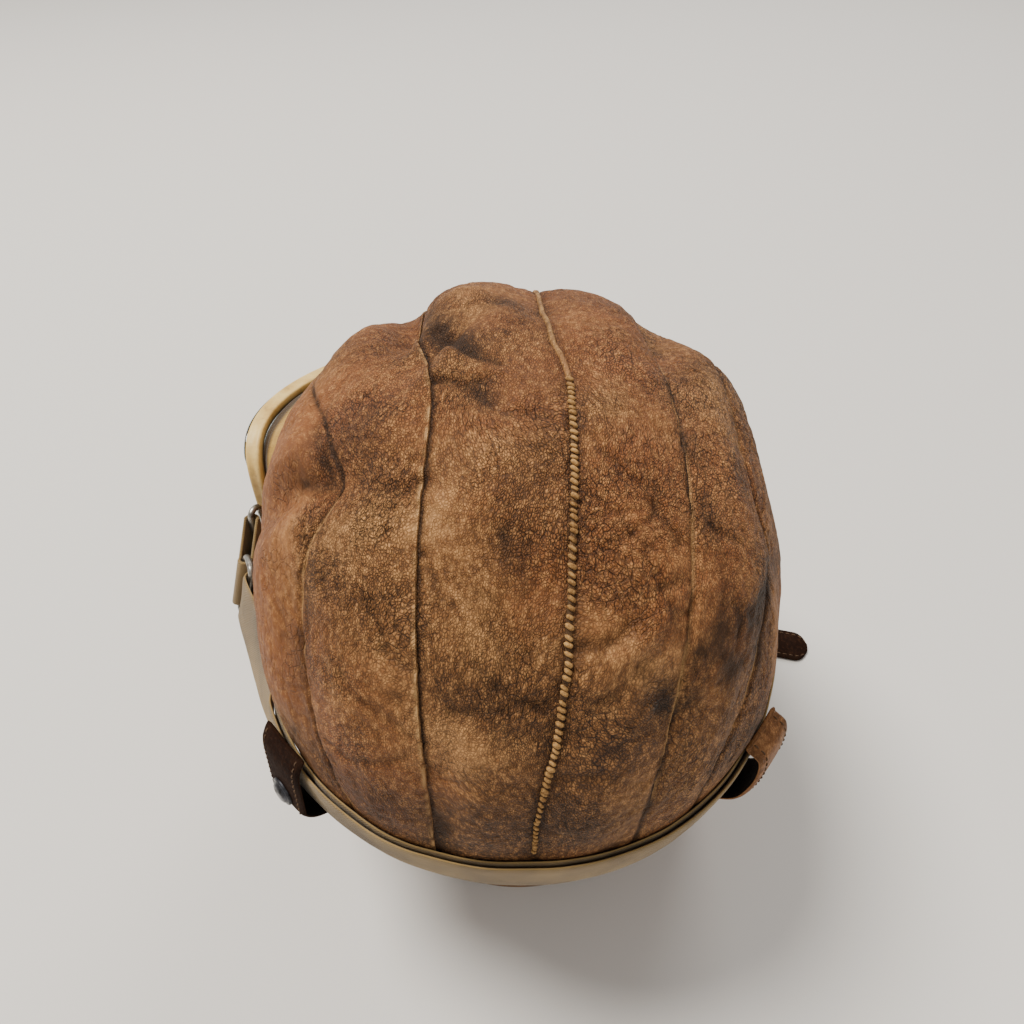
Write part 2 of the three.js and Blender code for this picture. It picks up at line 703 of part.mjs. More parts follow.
// The lines of a strap between two turns
function strapRun(fromTurn, toTurn, lift, steps) {
  return Array.from({ length: steps + 1 }, (_, step) => {
    const turn = fromTurn + (toTurn - fromTurn) * (step / steps);
    return [0, 0.5, 1].map((across) => strapPlace(turn, across, lift));
  });
}

// The end of a strap that turns back inwards round a bar: its bar's top and the lines to add
function foldedEnd(end, before, towards) {
  const ahead = end[0].clone().sub(before[0]).setZ(0).normalize();
  const inward = new THREE.Vector3(-ahead.y, ahead.x, 0).multiplyScalar(towards);
  const bar = end[0].clone().addScaledVector(inward, BAR_BEND);
  const turned = turnedEnd(bar, end[0], BAR_BEND, towards);
  turned.push(turned[turned.length - 1].clone().addScaledVector(ahead, -TURNED_LENGTH));
  const lines = turned.map((point) => {
    const shift = point.sub(end[0]).setZ(0);
    return end.map((corner) => corner.clone().add(shift));
  });
  return { bar, ahead, end, lines };
}

function mainStrap() {
  const lines = strapRun(STRAP_RIGHT_TURN, SLIDE_TURN, OUTER_LIFT, 56);
  const last = lines.length - 1;
  const left = foldedEnd(lines[last], lines[last - 1], -1);
  const right = foldedEnd(lines[0], lines[1], 1);
  return { left, right, body: band([...right.lines.reverse(), ...lines, ...left.lines], WEBBING) };
}
const strap = mainStrap();
add('goggle_strap', strap.body, WEBBING_OLIVE, 0.85, 0);
add(
  'goggle_strap_under',
  band(strapRun(LOOP_LAYER_TURN, -LOOP_LAYER_TURN, INNER_LIFT, 26), WEBBING),
  WEBBING_OLIVE,
  0.85,
  0,
);

// The leather loops that hold the strap

// How far each loop bulges and its level along its run, from 0 at its upper end to 1. The left
// one slopes out over the strap to a corner, and the right one is a round tube.
const LEFT_LOOP_SHAPE = [
  { share: 0, bulge: 0, drop: 0 },
  { share: 0.12, bulge: 0.2, drop: 0.06 },
  { share: 0.25, bulge: 0.44, drop: 0.17 },
  { share: 0.45, bulge: 0.7, drop: 0.44 },
  { share: 0.62, bulge: 0.93, drop: 0.68 },
  { share: 0.69, bulge: 1, drop: 0.76 },
  { share: 0.8, bulge: 0.82, drop: 0.88 },
  { share: 0.9, bulge: 0.48, drop: 0.96 },
  { share: 1, bulge: 0, drop: 1 },
];
const RIGHT_LOOP_SHAPE = [
  { share: 0, bulge: 0, drop: 0 },
  { share: 0.12, bulge: 0.1, drop: 0.03 },
  { share: 0.28, bulge: 0.7, drop: 0.09 },
  { share: 0.42, bulge: 0.97, drop: 0.3 },
  { share: 0.55, bulge: 1, drop: 0.55 },
  { share: 0.7, bulge: 0.85, drop: 0.8 },
  { share: 0.86, bulge: 0.3, drop: 0.97 },
  { share: 1, bulge: 0, drop: 1 },
];

function loopStations(turn) {
  const shape = turn < 0 ? LEFT_LOOP_SHAPE : RIGHT_LOOP_SHAPE;
  const top = strapPlace(turn, 0, 0).z + LOOP_RISE;
  const bottom = top - LOOP_RISE - WEBBING_WIDTH - (turn < 0 ? LOOP_DROP_LEFT : LOOP_DROP_RIGHT);
  const steps = 16;
  const seat = SEAM_GAP + LOOP_LEATHER / 2 + LOOP_SEAT_CURVE;
  const points = Array.from({ length: steps + 1 }, (_, step) => {
    const share = step / steps;
    const level = top + (bottom - top) * along(shape, 'share', 'drop', share);
    const bulge = turn < 0 ? LOOP_BULGE_LEFT : LOOP_BULGE_RIGHT;
    const out = seat + bulge * along(shape, 'share', 'bulge', share);
    return crownPointAt(turn, level, out);
  });
  return stationsAlong(points, () => outward(turn + QUARTER_TURN), false);
}

function loopSection(width) {
  const half = width / 2;
  const sag = width ** 2 / 8 / REAR_REACH;
  const thick = LOOP_LEATHER / 2;
  return [[-half, sag - thick], [0, -thick], [half, sag - thick],
    [half, sag + thick], [0, thick], [-half, sag + thick]];
}

function snapOn(stations, share, turn) {
  const station = stations[Math.round(share * (stations.length - 1))];
  const away = outward(turn);
  const out = station.out.dot(away) > 0 ? station.out.clone() : station.out.clone().negate();
  const geometry = new THREE.CylinderGeometry(SNAP_RADIUS * 0.8, SNAP_RADIUS, SNAP_HEIGHT, 16);
  geometry.applyQuaternion(new THREE.Quaternion().setFromUnitVectors(new THREE.Vector3(0, 1, 0), out));
  const middle = station.middle.clone()
    .addScaledVector(out, LOOP_LEATHER / 2 + 2 * SEAM_GAP + SNAP_HEIGHT / 2);
  geometry.translate(middle.x, middle.y, middle.z);
  return geometry;
}

function strapLoop(turn) {
  const stations = loopStations(turn);
  const sag = stations[0].out.dot(outward(turn)) > 0 ? -1 : 1;
  const section = loopSection(turn < 0 ? LOOP_WIDTH_LEFT : LOOP_WIDTH_RIGHT);
  return sweep(stations, section.map(([across, out]) => [across, out * sag]), false);
}
add('strap_loop_left', strapLoop(-LOOP_TURN_LEFT), LEATHER_DARK, 0.6, 0);
add('strap_loop_right', strapLoop(LOOP_TURN_RIGHT), LEATHER_BROWN, 0.6, 0);
add('loop_snap', snapOn(loopStations(-LOOP_TURN_LEFT), 0.6, -LOOP_TURN_LEFT), STEEL, 0.35, 0.9);

// The goggles

// swing is the angle from the goggles' middle to the wearer's right, height the distance over it
function goggleFace(swing, height, out) {
  const facing = GOGGLE_MIDDLE + swing;
  const turn = (facing < 0 ? -HALF_TURN : HALF_TURN) - facing;
  const level = GOGGLE_LEVEL - GOGGLE_TILT * swing * DEGREE * (FRONT_REACH + out) + height;
  const point = outward(turn).multiplyScalar(widestRadius(turn) + out);
  point.z = level;
  return point;
}

// How far the goggles curl in to the wall at a swing
function endCurl(swing, grow) {
  return GOGGLE_END_CURL * Math.min(Math.abs(swing) / goggleReach(grow), 1) ** 6;
}

// Half the angle that an outline grown by a distance spans
function goggleReach(grow) {
  return GOGGLE_SPAN + grow / HALF_WIDTH / DEGREE;
}

// Half height of the goggles' outline at a swing, for an outline grown by a distance
function goggleHeight(swing, grow) {
  const reach = goggleReach(grow);
  const share = Math.min(Math.abs(swing) / reach, 1);
  return (GOGGLE_HALF_HEIGHT + grow) * (1 - share ** GOGGLE_SQUARENESS) ** (1 / GOGGLE_SQUARENESS);
}

function noseRise(swing) {
  return NOSE_RISE * Math.exp(-((swing / NOSE_ANGLE) ** 2));
}

// The outline as evenly spaced pairs of a swing and a height
function goggleOutline(grow, steps) {
  const reach = goggleReach(grow);
  const power = 2 / GOGGLE_SQUARENESS;
  const fine = Array.from({ length: 4 * steps }, (_, step) => {
    const angle = (2 * Math.PI * step) / (4 * steps);
    const cos = Math.cos(angle);
    const sin = Math.sin(angle);
    const swing = reach * Math.sign(cos) * Math.abs(cos) ** power;
    const height = (GOGGLE_HALF_HEIGHT + grow) * Math.sign(sin) * Math.abs(sin) ** power;
    const lift = sin < 0 ? noseRise(swing) : 0;
    return new THREE.Vector3(swing * DEGREE * FRONT_REACH, height + lift, 0);
  });
  const curve = new THREE.CatmullRomCurve3(fine, true);
  return curve.getSpacedPoints(steps).slice(0, steps).map((point) => (
    { swing: point.x / DEGREE / FRONT_REACH, height: point.y }
  ));
}

// A ring round the goggles from a distance off the wall to a greater one. Where the goggles
// curl in at their ends, its outer face does so too, and its inner face by the given share.
function goggleRing(grow, inner, outer, wall, innerCurl) {
  const places = goggleOutline(grow, GOGGLE_STEPS);
  const depths = places.map(({ swing }) => outer - inner - endCurl(swing, grow) * (1 - innerCurl));
  const points = places.map(({ swing, height }, index) => (
    goggleFace(swing, height, inner + depths[index] / 2 - endCurl(swing, grow) * innerCurl)
  ));
  const stations = stationsAlong(points, (index) => (
    outward(turnOf(points[index].x, points[index].y)).multiplyScalar(-1)
  ), true);
  stations.forEach((station, index) => {
    station.stretch = depths[index] / (outer - inner);
  });
  const a = (outer - inner) / 2;
  const b = wall / 2;
  const corner = Math.min(a, b) * 0.5;
  const section = [[-a + corner, -b], [a - corner, -b], [a, -b + corner], [a, b - corner],
    [a - corner, b], [-a + corner, b], [-a, b - corner], [-a, -b + corner]];
  return sweep(stations, section, true);
}

const CUSHION_OUTER = CUSHION_CLEARANCE + CUSHION_DEPTH;
const RIM_INNER = CUSHION_OUTER + 3 * SEAM_GAP;
const RIM_OUTER = RIM_INNER + RIM_DEPTH;
const LENS_INNER = RIM_OUTER + 2 * SEAM_GAP;

add(
  'goggle_cushion',
  goggleRing(-RIM_RECESS, CUSHION_CLEARANCE, CUSHION_OUTER, CUSHION_WALL, 0),
  CUSHION_OCHRE,
  0.9,
  0,
);
add('goggle_rim', goggleRing(0, RIM_INNER, RIM_OUTER, RIM_WALL, 1), RIM_CREAM, 0.6, 0);

// The lens, a curved sheet a little larger than the rim's opening
function lensBody() {
  const grow = LENS_OVERLAP - RIM_WALL / 2;
  const reach = LENS_REACH * goggleReach(grow);
  const face = (out) => (share, across) => {
    const swing = reach * (2 * share - 1);
    const high = goggleHeight(swing, grow);
    const low = noseRise(swing) - high;
    return goggleFace(swing, high + (low - high) * across, out - endCurl(swing, grow));
  };
  return sheet(20, 2, face(LENS_INNER + LENS), face(LENS_INNER));
}
add('goggle_lens', lensBody(), LENS_GREY, 0.15, 0);

// The slide, the link and the wire ring that join the strap to the goggles on the left

function unit(from, to) {
  return to.clone().sub(from).normalize();
}

// A flat wire ring with two bars for a strap, given its first bar's middle and its directions
function wireRing(rearBar, ahead, up, length, strapWidth) {
  const halfHeight = strapWidth / 2 + WIRE_RADIUS + 2 * WIRE_CLEARANCE;
  const middle = rearBar.clone().addScaledVector(ahead, length / 2);
  const round = 1 - Math.SQRT1_2;
  const points = [];
  for (const [side, level] of [[-1, -1], [1, -1], [1, 1], [-1, 1]]) {
    const cuts = [[1, 0], [round, round], [0, 1]];
    if (side * level < 0) cuts.reverse();
    for (const [fromTop, fromSide] of cuts) {
      points.push(middle.clone()
        .addScaledVector(ahead, side * (length / 2 - WIRE_CORNER * fromSide))
        .addScaledVector(up, level * (halfHeight - WIRE_CORNER * fromTop)));
    }
  }
  const normal = new THREE.Vector3().crossVectors(ahead, up).normalize();
  return sweep(stationsAlong(points, () => normal, true), ring(WIRE_RADIUS, 6), true);
}

const slideUp = unit(strap.left.end[2], strap.left.end[0]);
const slideBar = strap.left.bar.clone().addScaledVector(slideUp, -WEBBING_WIDTH / 2);
const slideAhead = strap.left.ahead;
add('strap_slide', wireRing(slideBar, slideAhead, slideUp, SLIDE_LENGTH, WEBBING_WIDTH), STEEL, 0.35, 0.9);

const upright = new THREE.Vector3(0, 0, 1);
const rimMiddle = (RIM_INNER + RIM_OUTER) / 2 - GOGGLE_END_CURL;
const barSeat = RIM_WALL / 2 + WIRE_RADIUS + WIRE_CLEARANCE;
const rimEnd = goggleFace(-GOGGLE_SPAN, -RING_DROP, rimMiddle);
const slideFront = slideBar.clone().addScaledVector(slideAhead, SLIDE_LENGTH);
const ringAhead = unit(slideFront, rimEnd).setZ(0).normalize();
const ringFront = rimEnd.clone().addScaledVector(ringAhead, -barSeat);
const ringBar = ringFront.clone().addScaledVector(ringAhead, -RING_LENGTH);
add('goggle_ring_left', wireRing(ringBar, ringAhead, upright, RING_LENGTH, WEBBING_WIDTH), STEEL, 0.35, 0.9);

// The ring on the right reaches from the strap's folded end to the rim
const rightBar = strap.right.bar.clone().addScaledVector(upright, -WEBBING_WIDTH / 2);
const rightEnd = goggleFace(GOGGLE_SPAN, 0, rimMiddle).setZ(rightBar.z);
const rightAhead = unit(rightBar, rightEnd);
const rightLength = rightBar.distanceTo(rightEnd) - barSeat;
add(
  'goggle_ring_right',
  wireRing(rightBar, rightAhead, upright, rightLength, WEBBING_WIDTH),
  STEEL,
  0.35,
  0.9,
);

// The link is a loop of webbing round the slide's front bar and the ring's rear bar
function linkBody() {
  const away = outward(turnOf(ringBar.x, ringBar.y));
  const stations = [];
  for (const [bar, up, from] of [[slideFront, slideUp, 0], [ringBar, upright, Math.PI]]) {
    for (let step = 0; step <= BEND_STEPS; step += 1) {
      const angle = from + (Math.PI * step) / BEND_STEPS;
      const out = away.clone().multiplyScalar(Math.cos(angle)).addScaledVector(ringAhead, -Math.sin(angle));
      stations.push({ middle: bar.clone().addScaledVector(out, BAR_BEND), across: up, out });
    }
  }
  return sweep(stations, rectangle(WEBBING_WIDTH, WEBBING), true);
}
add('strap_link', linkBody(), WEBBING_OLIVE, 0.85, 0);

// The chin strap and the buckle's tab

function chinPoint({ side, front, level }) {
  return new THREE.Vector3(side * HALF_WIDTH, front * CHIN_REACH_FRONT, level * CHIN_WIDTH + CHIN_LIFT);
}

// Where a strap lies sewn on a flap's outer face
function flapSeat(turn) {
  const reach = (level) => shellRadius(turn, level) + flapLift(Math.abs(turn), level);
  const widest = Math.max(reach(CHIN_LEVEL - CHIN_WIDTH / 2), reach(CHIN_LEVEL + CHIN_WIDTH / 2));
  return outward(turn).multiplyScalar(widest + 2 * SEAM_GAP + CHIN_LEATHER / 2).setZ(CHIN_LEVEL);
}

// The direction across a strap that runs along, where upright turns it on edge
function chinAcross(run, edge) {
  const angle = (edge * Math.PI) / 2;
  const flat = new THREE.Vector3(-run.y, run.x, 0).normalize();
  return flat.multiplyScalar(Math.cos(angle)).addScaledVector(upright, Math.sin(angle));
}

// A flat strap through points, where uprights turn it on edge and stretches narrow it
function chinBand(points, uprights, stretches) {
  const stations = stationsAlong(points, (index, run) => chinAcross(run, uprights[index]), false);
  stations.forEach((station, index) => {
    station.stretch = stretches[index];
  });
  return sweep(stations, rectangle(CHIN_WIDTH, CHIN_LEATHER), false);
}

// Points and uprights along a curve through seats on a flap and the rows of a route
function chinRun(seats, rows, steps) {
  const knots = [...seats, ...rows.map(chinPoint)];
  const edges = [...seats.map(() => 1), ...rows.map((row) => row.upright)];
  const curve = new THREE.CatmullRomCurve3(knots, false, 'centripetal');
  const points = [];
  const uprights = [];
  for (let step = 0; step <= steps; step += 1) {
    const place = (step / steps) * (knots.length - 1);
    const from = Math.min(Math.floor(place), knots.length - 2);
    const point = curve.getPoint(step / steps);
    const edge = edges[from] + (edges[from + 1] - edges[from]) * smooth(place - from);
    const half = (CHIN_WIDTH / 2) * Math.sin((edge * Math.PI) / 2);
    point.z = Math.max(point.z, CHIN_LIFT + half);
    points.push(point);
    uprights.push(edge);
  }
  return { points, uprights };
}

function chinStrap() {
  const { points, uprights } = chinRun(CHIN_SEAT_TURNS.map((turn) => flapSeat(-turn)), CHIN_ROUTE, 44);
  const start = points[points.length - 1];
  const tip = new THREE.Vector3(CHIN_REACH_RIGHT, CHIN_END_FRONT, CHIN_LIFT);
  const run = unit(start, tip);
  const stretches = points.map(() => 1);
  for (const [rest, stretch] of [[1, 1], [0.6, 0.9], [0.25, 0.68], [0, 0.3]]) {
    points.push(tip.clone().addScaledVector(run, -CHIN_TIP_ROUNDING * rest));
    uprights.push(0);
    stretches.push(stretch);
  }
  return chinBand(points, uprights, stretches);
}
add('chin_strap', chinStrap(), LEATHER_DARK, 0.6, 0);

const buckleIn = chinPoint(BUCKLE_IN).setZ(CHIN_LIFT + CHIN_LEATHER / 2 + WIRE_CLEARANCE + WIRE_RADIUS);
const buckleOut = chinPoint(BUCKLE_OUT).setZ(buckleIn.z);
const buckleAhead = unit(buckleIn, buckleOut);
const buckleSide = new THREE.Vector3(-buckleAhead.y, buckleAhead.x, 0);
const buckleLength = buckleIn.distanceTo(buckleOut);
add('chin_buckle', wireRing(buckleIn, buckleAhead, buckleSide, buckleLength, CHIN_WIDTH), STEEL, 0.35, 0.9);

// The tab runs from the right flap to the buckle's far bar and turns back round it
function chinTab() {
  const steps = 14;
  const { points, uprights } = chinRun(CHIN_SEAT_TURNS.map(flapSeat), TAB_ROUTE, steps);
  const bend = buckleOut.z - CHIN_LIFT;
  for (let step = 0; step <= 6; step += 1) {
    const angle = (Math.PI * step) / 6;
    points.push(buckleOut.clone()
      .addScaledVector(buckleAhead, -bend * Math.sin(angle))
      .addScaledVector(upright, -bend * Math.cos(angle)));
    uprights.push(0);
  }
  points.push(points[points.length - 1].clone().addScaledVector(buckleAhead, CHIN_WIDTH / 3));
  uprights.push(0);
  const stations = stationsAlong(points, (index, run) => (
    index > steps ? buckleSide.clone().negate() : chinAcross(run, uprights[index])
  ), false);
  return sweep(stations, rectangle(CHIN_WIDTH, CHIN_LEATHER), false);
}
add('chin_tab', chinTab(), LEATHER_DARK, 0.6, 0);

// The origin lies on the surface, in the middle of the whole object
const middleOfAll = new THREE.Box3().setFromObject(helmet).getCenter(new THREE.Vector3());
helmet.position.set(-middleOfAll.x, -middleOfAll.y, 0);
helmet.updateMatrixWorld(true);

export default helmet;
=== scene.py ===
import math
import random

import bpy
import numpy as np
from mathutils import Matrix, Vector, noise


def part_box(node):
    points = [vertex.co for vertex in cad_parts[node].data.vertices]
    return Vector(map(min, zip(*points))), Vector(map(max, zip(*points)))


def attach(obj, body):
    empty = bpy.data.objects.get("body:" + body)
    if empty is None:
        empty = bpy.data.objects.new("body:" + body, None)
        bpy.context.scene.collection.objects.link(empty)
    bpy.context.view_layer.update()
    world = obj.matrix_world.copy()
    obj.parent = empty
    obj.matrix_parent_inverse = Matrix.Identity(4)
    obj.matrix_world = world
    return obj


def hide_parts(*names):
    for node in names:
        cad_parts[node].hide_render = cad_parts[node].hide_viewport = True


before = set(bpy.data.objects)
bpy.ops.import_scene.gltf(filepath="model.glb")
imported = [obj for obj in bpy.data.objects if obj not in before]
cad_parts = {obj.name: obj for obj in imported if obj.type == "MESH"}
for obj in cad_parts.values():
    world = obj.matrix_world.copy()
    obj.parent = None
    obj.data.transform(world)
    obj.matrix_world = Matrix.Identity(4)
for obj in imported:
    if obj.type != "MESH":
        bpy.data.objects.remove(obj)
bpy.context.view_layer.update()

# Shapes are worked out in millimetres round the crown's own axis, and then put in the frame.
# A turn is an angle round that axis in degrees: 0 at the nape, 90 right, 180 face.
# arc runs over the crown, 0 nape, 90 top, 180 face, and lean is left (minus) or right.
MM = 0.001
DEGREE = math.pi / 180
UP = np.array([0.0, 0.0, 1.0])
LEVEL = np.array([1.0, 1.0, 0.0])
TINY = 1e-12

# The part's own sizes
HALF_WIDTH = 87.5
REAR_REACH = 101
FRONT_REACH = 108
CROWN_RISE = 94
WIDEST_LEVEL = 130
CENTRE = np.array([0, 0, WIDEST_LEVEL])
ROUNDNESS = 2.2
SEAM_LEVEL = 112
BROW_LEVEL = 150
LEATHER = 1.6
HEM = 3
SEAM_GAP = 0.3
PANEL_PUFF = 1.8
SEAM_PINCH_ANGLE = 6
EDGE_FADE = 25
FOLD_HEIGHT = 4
BROW_BAND_WIDTH = 20
FLAP_LAP = 6
FLAP_LAP_FADE = 20
FLAP_REAR_TURN = 62
CORNER_TURN = 3
EAR_BULGE = 5.5
EAR_TURN = 90
EAR_LEVEL = 66
EAR_SPREAD = 36
NAPE_ARC = -18
TOP_ARC = 90
FACE_ARC = 180

# The goggle strap and its loops
WEBBING_WIDTH = 25
WEBBING = 1.2
STRAP_LEVEL = 120
STRAP_LIFT = 0.5
LAYER_GAP = 0.6
STRAP_SWING = 17
TURNED_LENGTH = 14
LOOP_LAYER_TURN = 57
LOOP_WIDTH_LEFT = 20
LOOP_WIDTH_RIGHT = 19
LOOP_BULGE_LEFT = 8.6
LOOP_BULGE_RIGHT = 7.5
LOOP_TURN_LEFT = 46
LOOP_TURN_RIGHT = 51
LOOP_RISE = 6
LOOP_DROP_LEFT = 4
LOOP_DROP_RIGHT = 6.5
LOOP_LEATHER = 1.8
LOOP_SEAT_CURVE = 1.2

# The goggles and the strap's wire fittings
GOGGLE_MIDDLE = -24
GOGGLE_SPAN = 49
GOGGLE_HALF_HEIGHT = 31
GOGGLE_LEVEL = 124
GOGGLE_TILT = 0.13
GOGGLE_SQUARENESS = 4.6
GOGGLE_END_CURL = 5
RING_DROP = 13
NOSE_RISE = 14
NOSE_ANGLE = 9
CUSHION_CLEARANCE = 4
CUSHION_DEPTH = 11
CUSHION_WALL = 8
RIM_RECESS = 3
RIM_DEPTH = 6
RIM_WALL = 4.5
LENS = 1.6
LENS_OVERLAP = 1.5
LENS_REACH = 0.98
WIRE_RADIUS = 1.2
WIRE_CLEARANCE = 0.45
WIRE_CORNER = 1.8
WIRE_SIDES = 12
SLIDE_LENGTH = 10
RING_LENGTH = 6
STRAP_RIGHT_TURN = 180 - (GOGGLE_MIDDLE + GOGGLE_SPAN) - 6
SLIDE_TURN = GOGGLE_SPAN - GOGGLE_MIDDLE - 180 + 18
BAR_BEND = (WIRE_RADIUS + WIRE_CLEARANCE + WEBBING / 2) / math.cos(math.pi / 10)
OUTER_LIFT = WEBBING * 1.5 + LAYER_GAP
INNER_LIFT = WEBBING / 2
CUSHION_OUTER = CUSHION_CLEARANCE + CUSHION_DEPTH
RIM_INNER = CUSHION_OUTER + 3 * SEAM_GAP
RIM_OUTER = RIM_INNER + RIM_DEPTH
LENS_INNER = RIM_OUTER + 2 * SEAM_GAP

# The chin strap
CHIN_WIDTH = 19
CHIN_LEATHER = 2
CHIN_LEVEL = 28
CHIN_REACH_RIGHT = 157
CHIN_END_FRONT = 64
CHIN_REACH_FRONT = 106
CHIN_TIP_ROUNDING = 7
CHIN_LIFT = 1.3
CHIN_SEATS = (96, 104)
BUCKLE_IN = 5
BUCKLE_OUT = 6

# What the cloth and leather do apart from the part, in millimetres
PANEL_GAP = 0.02
LUMP_HEIGHT = 0.5
WRINKLE_HEIGHT = 0.3
WRINKLE_BEND = 9
RIDGE_HEIGHT = 0.3
RIPPLE_HEIGHT = 0.3
RIPPLE_REACH = 5
HEM_ROUNDING = 0.6
CURTAIN_SWELL = 1.1
STRAP_CLOSER = 0.4
SINGLE_LAYER_DROP = 2.0
CUSHION_TUCK = 1.6

# Creases: how far they wander in degrees, and the half width from which one is broad and
# soft. The narrower ones are made this much deeper and fainter.
CREASE_WANDER = 0.3
BROAD_LINE = 2
CREASE_DEEPER = 1.6
CREASE_DARKER = 0.9

# How far rubbing, and the painted shadow beside an overlapping panel edge, reach in from a seam, and the arc
# below which the left seams are pale
RUB_REACH = 0.7
PLAIN_RUB_REACH = 0.5
LAP_SHADOW_REACH = 1.5
DARK_SEAM_ARC = 63

# The welt, and the stitches that wrap it behind an arc
WELT_WIDTH = 2.6
WELT_STRIP = 1.7
WELT_HEIGHT = 0.75
WELT_SEAT = 0.75
WELT_STITCH_PITCH = 2.0
WELT_STITCH_REACH = 0.95
WELT_STITCH_RADIUS = 0.6
WELT_ROPE_ARC = 82

# Stitched grooves, at distances from an edge or round the ear
FLAP_HEIGHT = 120
FLAP_BREADTH = 85
FLAP_SEAM = 4.2
EAR_SEAM = 31
EAR_SQUASH = 0.85
BROW_SEAM = 3.0
CURTAIN_SEAM = 6.0
LOOP_SEAM = 2.4
CHIN_SEAM = 2.2
STITCH_SINK = 0.25

# Pitch, length and radius of the stitches
WALL_STITCH = (3.4, 2.5, 0.3)
BROW_STITCH = (3.4, 2.5, 0.28)
LOOP_STITCH = (2.6, 1.9, 0.24)
CHIN_STITCH = (3.2, 2.3, 0.24)

# The loop's snap
SNAP_RADIUS = 5
SNAP_HEIGHT = 1.4
SNAP_SHARE = 0.6
SNAP_SIDES = 40
SNAP_PROFILE = (
    (1, 0), (1, 0.25), (0.94, 0.42), (0.86, 0.42), (0.8, 0.35), (0.76, 0.5),
    (0.66, 0.78), (0.5, 0.93), (0.3, 0.99), (0.04, 1),
)

# How fine the meshes are
PANEL_ROWS = 300
PANEL_COLUMN = 1.0
WELT_ROWS = 700
GOGGLE_STEPS = 260
BEND_STEPS = 12
SINK_SPREAD = 7
STITCH_STEPS = 7

# Colours that several materials share, and the webbing's thread pitch in metres
FLESH = (0.36, 0.22, 0.12)
# Painted shade for the recess between the goggles' rim and cushion
RECESS_SHADE_COLOUR = (0.03, 0.017, 0.009)
THREAD_PITCH = 0.00095

# Curves, each read smoothly along its first column. Drops and shares run from 0 to 1, and the
# other columns are shares of the named sizes above, or angles in degrees.

# How far in the wall below the widest level lies, at the sides and at the nape
LOWER_WALL = {
    "drop": (0, 0.08, 0.14, 0.27, 0.54, 0.8, 1),
    "side": (1, 1, 1, 0.995, 0.97, 0.955, 0.96),
    "rear": (1, 0.995, 0.984, 0.94, 0.79, 0.66, 0.6),
}
# How far the crown's lower edge rises from the nape's level to the brow's
CROWN_EDGE = {
    "turn": (0, 60, 100, 118, 138, 160, 180),
    "rise": (0, 0, 0, 0.16, 0.6, 0.93, 1),
}
SEAMS = {
    "left_outer": {
        "arc": (-20, -6, 15, 39, 50, 57, 64, 73, 97, 115, 140, 180),
        "lean": (-28, -30, -36.5, -37.3, -34.6, -31.5, -31.3, -33.7, -42, -42, -36, -26),
    },
    "left": {
        "arc": (-20, 19, 60, 74, 85, 101, 116, 180),
        "lean": (-13.8, -14.5, -15, -14.6, -16, -20, -21.6, -12),
    },
    "middle": {
        "arc": (-20, 7, 27, 60, 77, 83, 93, 116, 180),
        "lean": (2, 2.4, 5.3, 7.6, 8, 7.6, 5.5, 4, 1),
    },
    "right": {
        "arc": (-20, -4, 18, 46, 63, 88, 110, 180),
        "lean": (18, 19.2, 21.8, 25.7, 27.1, 27.5, 28, 13),
    },
    "right_outer": {
        "arc": (-20, 0, 20, 40, 50, 64, 90, 140, 180),
        "lean": (30, 33, 40, 46.5, 50, 46, 44, 37, 26),
    },
}
FLAP_FRONT = {"drop": (0, 0.4, 0.75, 0.92, 1), "turn": (129, 124, 119, 114, 108)}
# How far the strap swings out from the crown, where its top edge runs and how its lower edge flares
STRAP_ROUTE = {
    "turn": (-97, -90, -82, -70, -58, -40, -20, 0, 40, 60, 78, 105, 130, 149),
    "swing": (0.86, 0.6, 0.25, 0.04, 0.01, 0, 0, 0, 0, 0.06, 0.22, 0.34, 0.66, 0.88),
    "level": (1.08, 1.07, 1.055, 1.035, 1.025, 1.01, 0.985, 0.98, 0.98, 0.975, 0.96, 0.96, 0.99, 1.02),
    "flare": (0.36, 0.36, 0.4, 0.39, 0.27, 0.08, 0, 0, 0, 0, 0, 0, 0, 0),
}
# How far each loop stands out and how low it has come, along its own length
LEFT_LOOP_SHAPE = {
    "share": (0, 0.12, 0.25, 0.45, 0.62, 0.69, 0.8, 0.9, 1),
    "bulge": (0, 0.2, 0.44, 0.7, 0.93, 1, 0.82, 0.48, 0),
    "drop": (0, 0.06, 0.17, 0.44, 0.68, 0.76, 0.88, 0.96, 1),
}
RIGHT_LOOP_SHAPE = {
    "share": (0, 0.12, 0.28, 0.42, 0.55, 0.7, 0.86, 1),
    "bulge": (0, 0.1, 0.7, 0.97, 1, 0.85, 0.3, 0),
    "drop": (0, 0.03, 0.09, 0.3, 0.55, 0.8, 0.97, 1),
}
# Where the chin strap's two sides run, and how upright they stand on the floor
CHIN_ROUTE = {
    "side": (-1.0, -0.82, -0.45, 0, 0.35, 0.64, 0.91, 1.08, 1.25, 1.44, 1.55),
    "front": (0.5, 0.77, 0.94, 0.99, 0.95, 0.87, 0.8, 0.76, 0.72, 0.68, 0.655),
    "level": (1.05, 0.4, 0, 0, 0, 0, 0.43, 0.43, 0.25, 0, 0),
    "upright": (0.85, 0.35, 0, 0, 0, 0, 0, 0, 0, 0, 0),
}
TAB_ROUTE = {
    "side": (1.1, 1.17, 1.14, 1.05),
    "front": (0.4, 0.56, 0.69, 0.757),
    "level": (0.7, 0, 0, 0),
    "upright": (0.65, 0.05, 0, 0),
}

# Soft spots on the crown

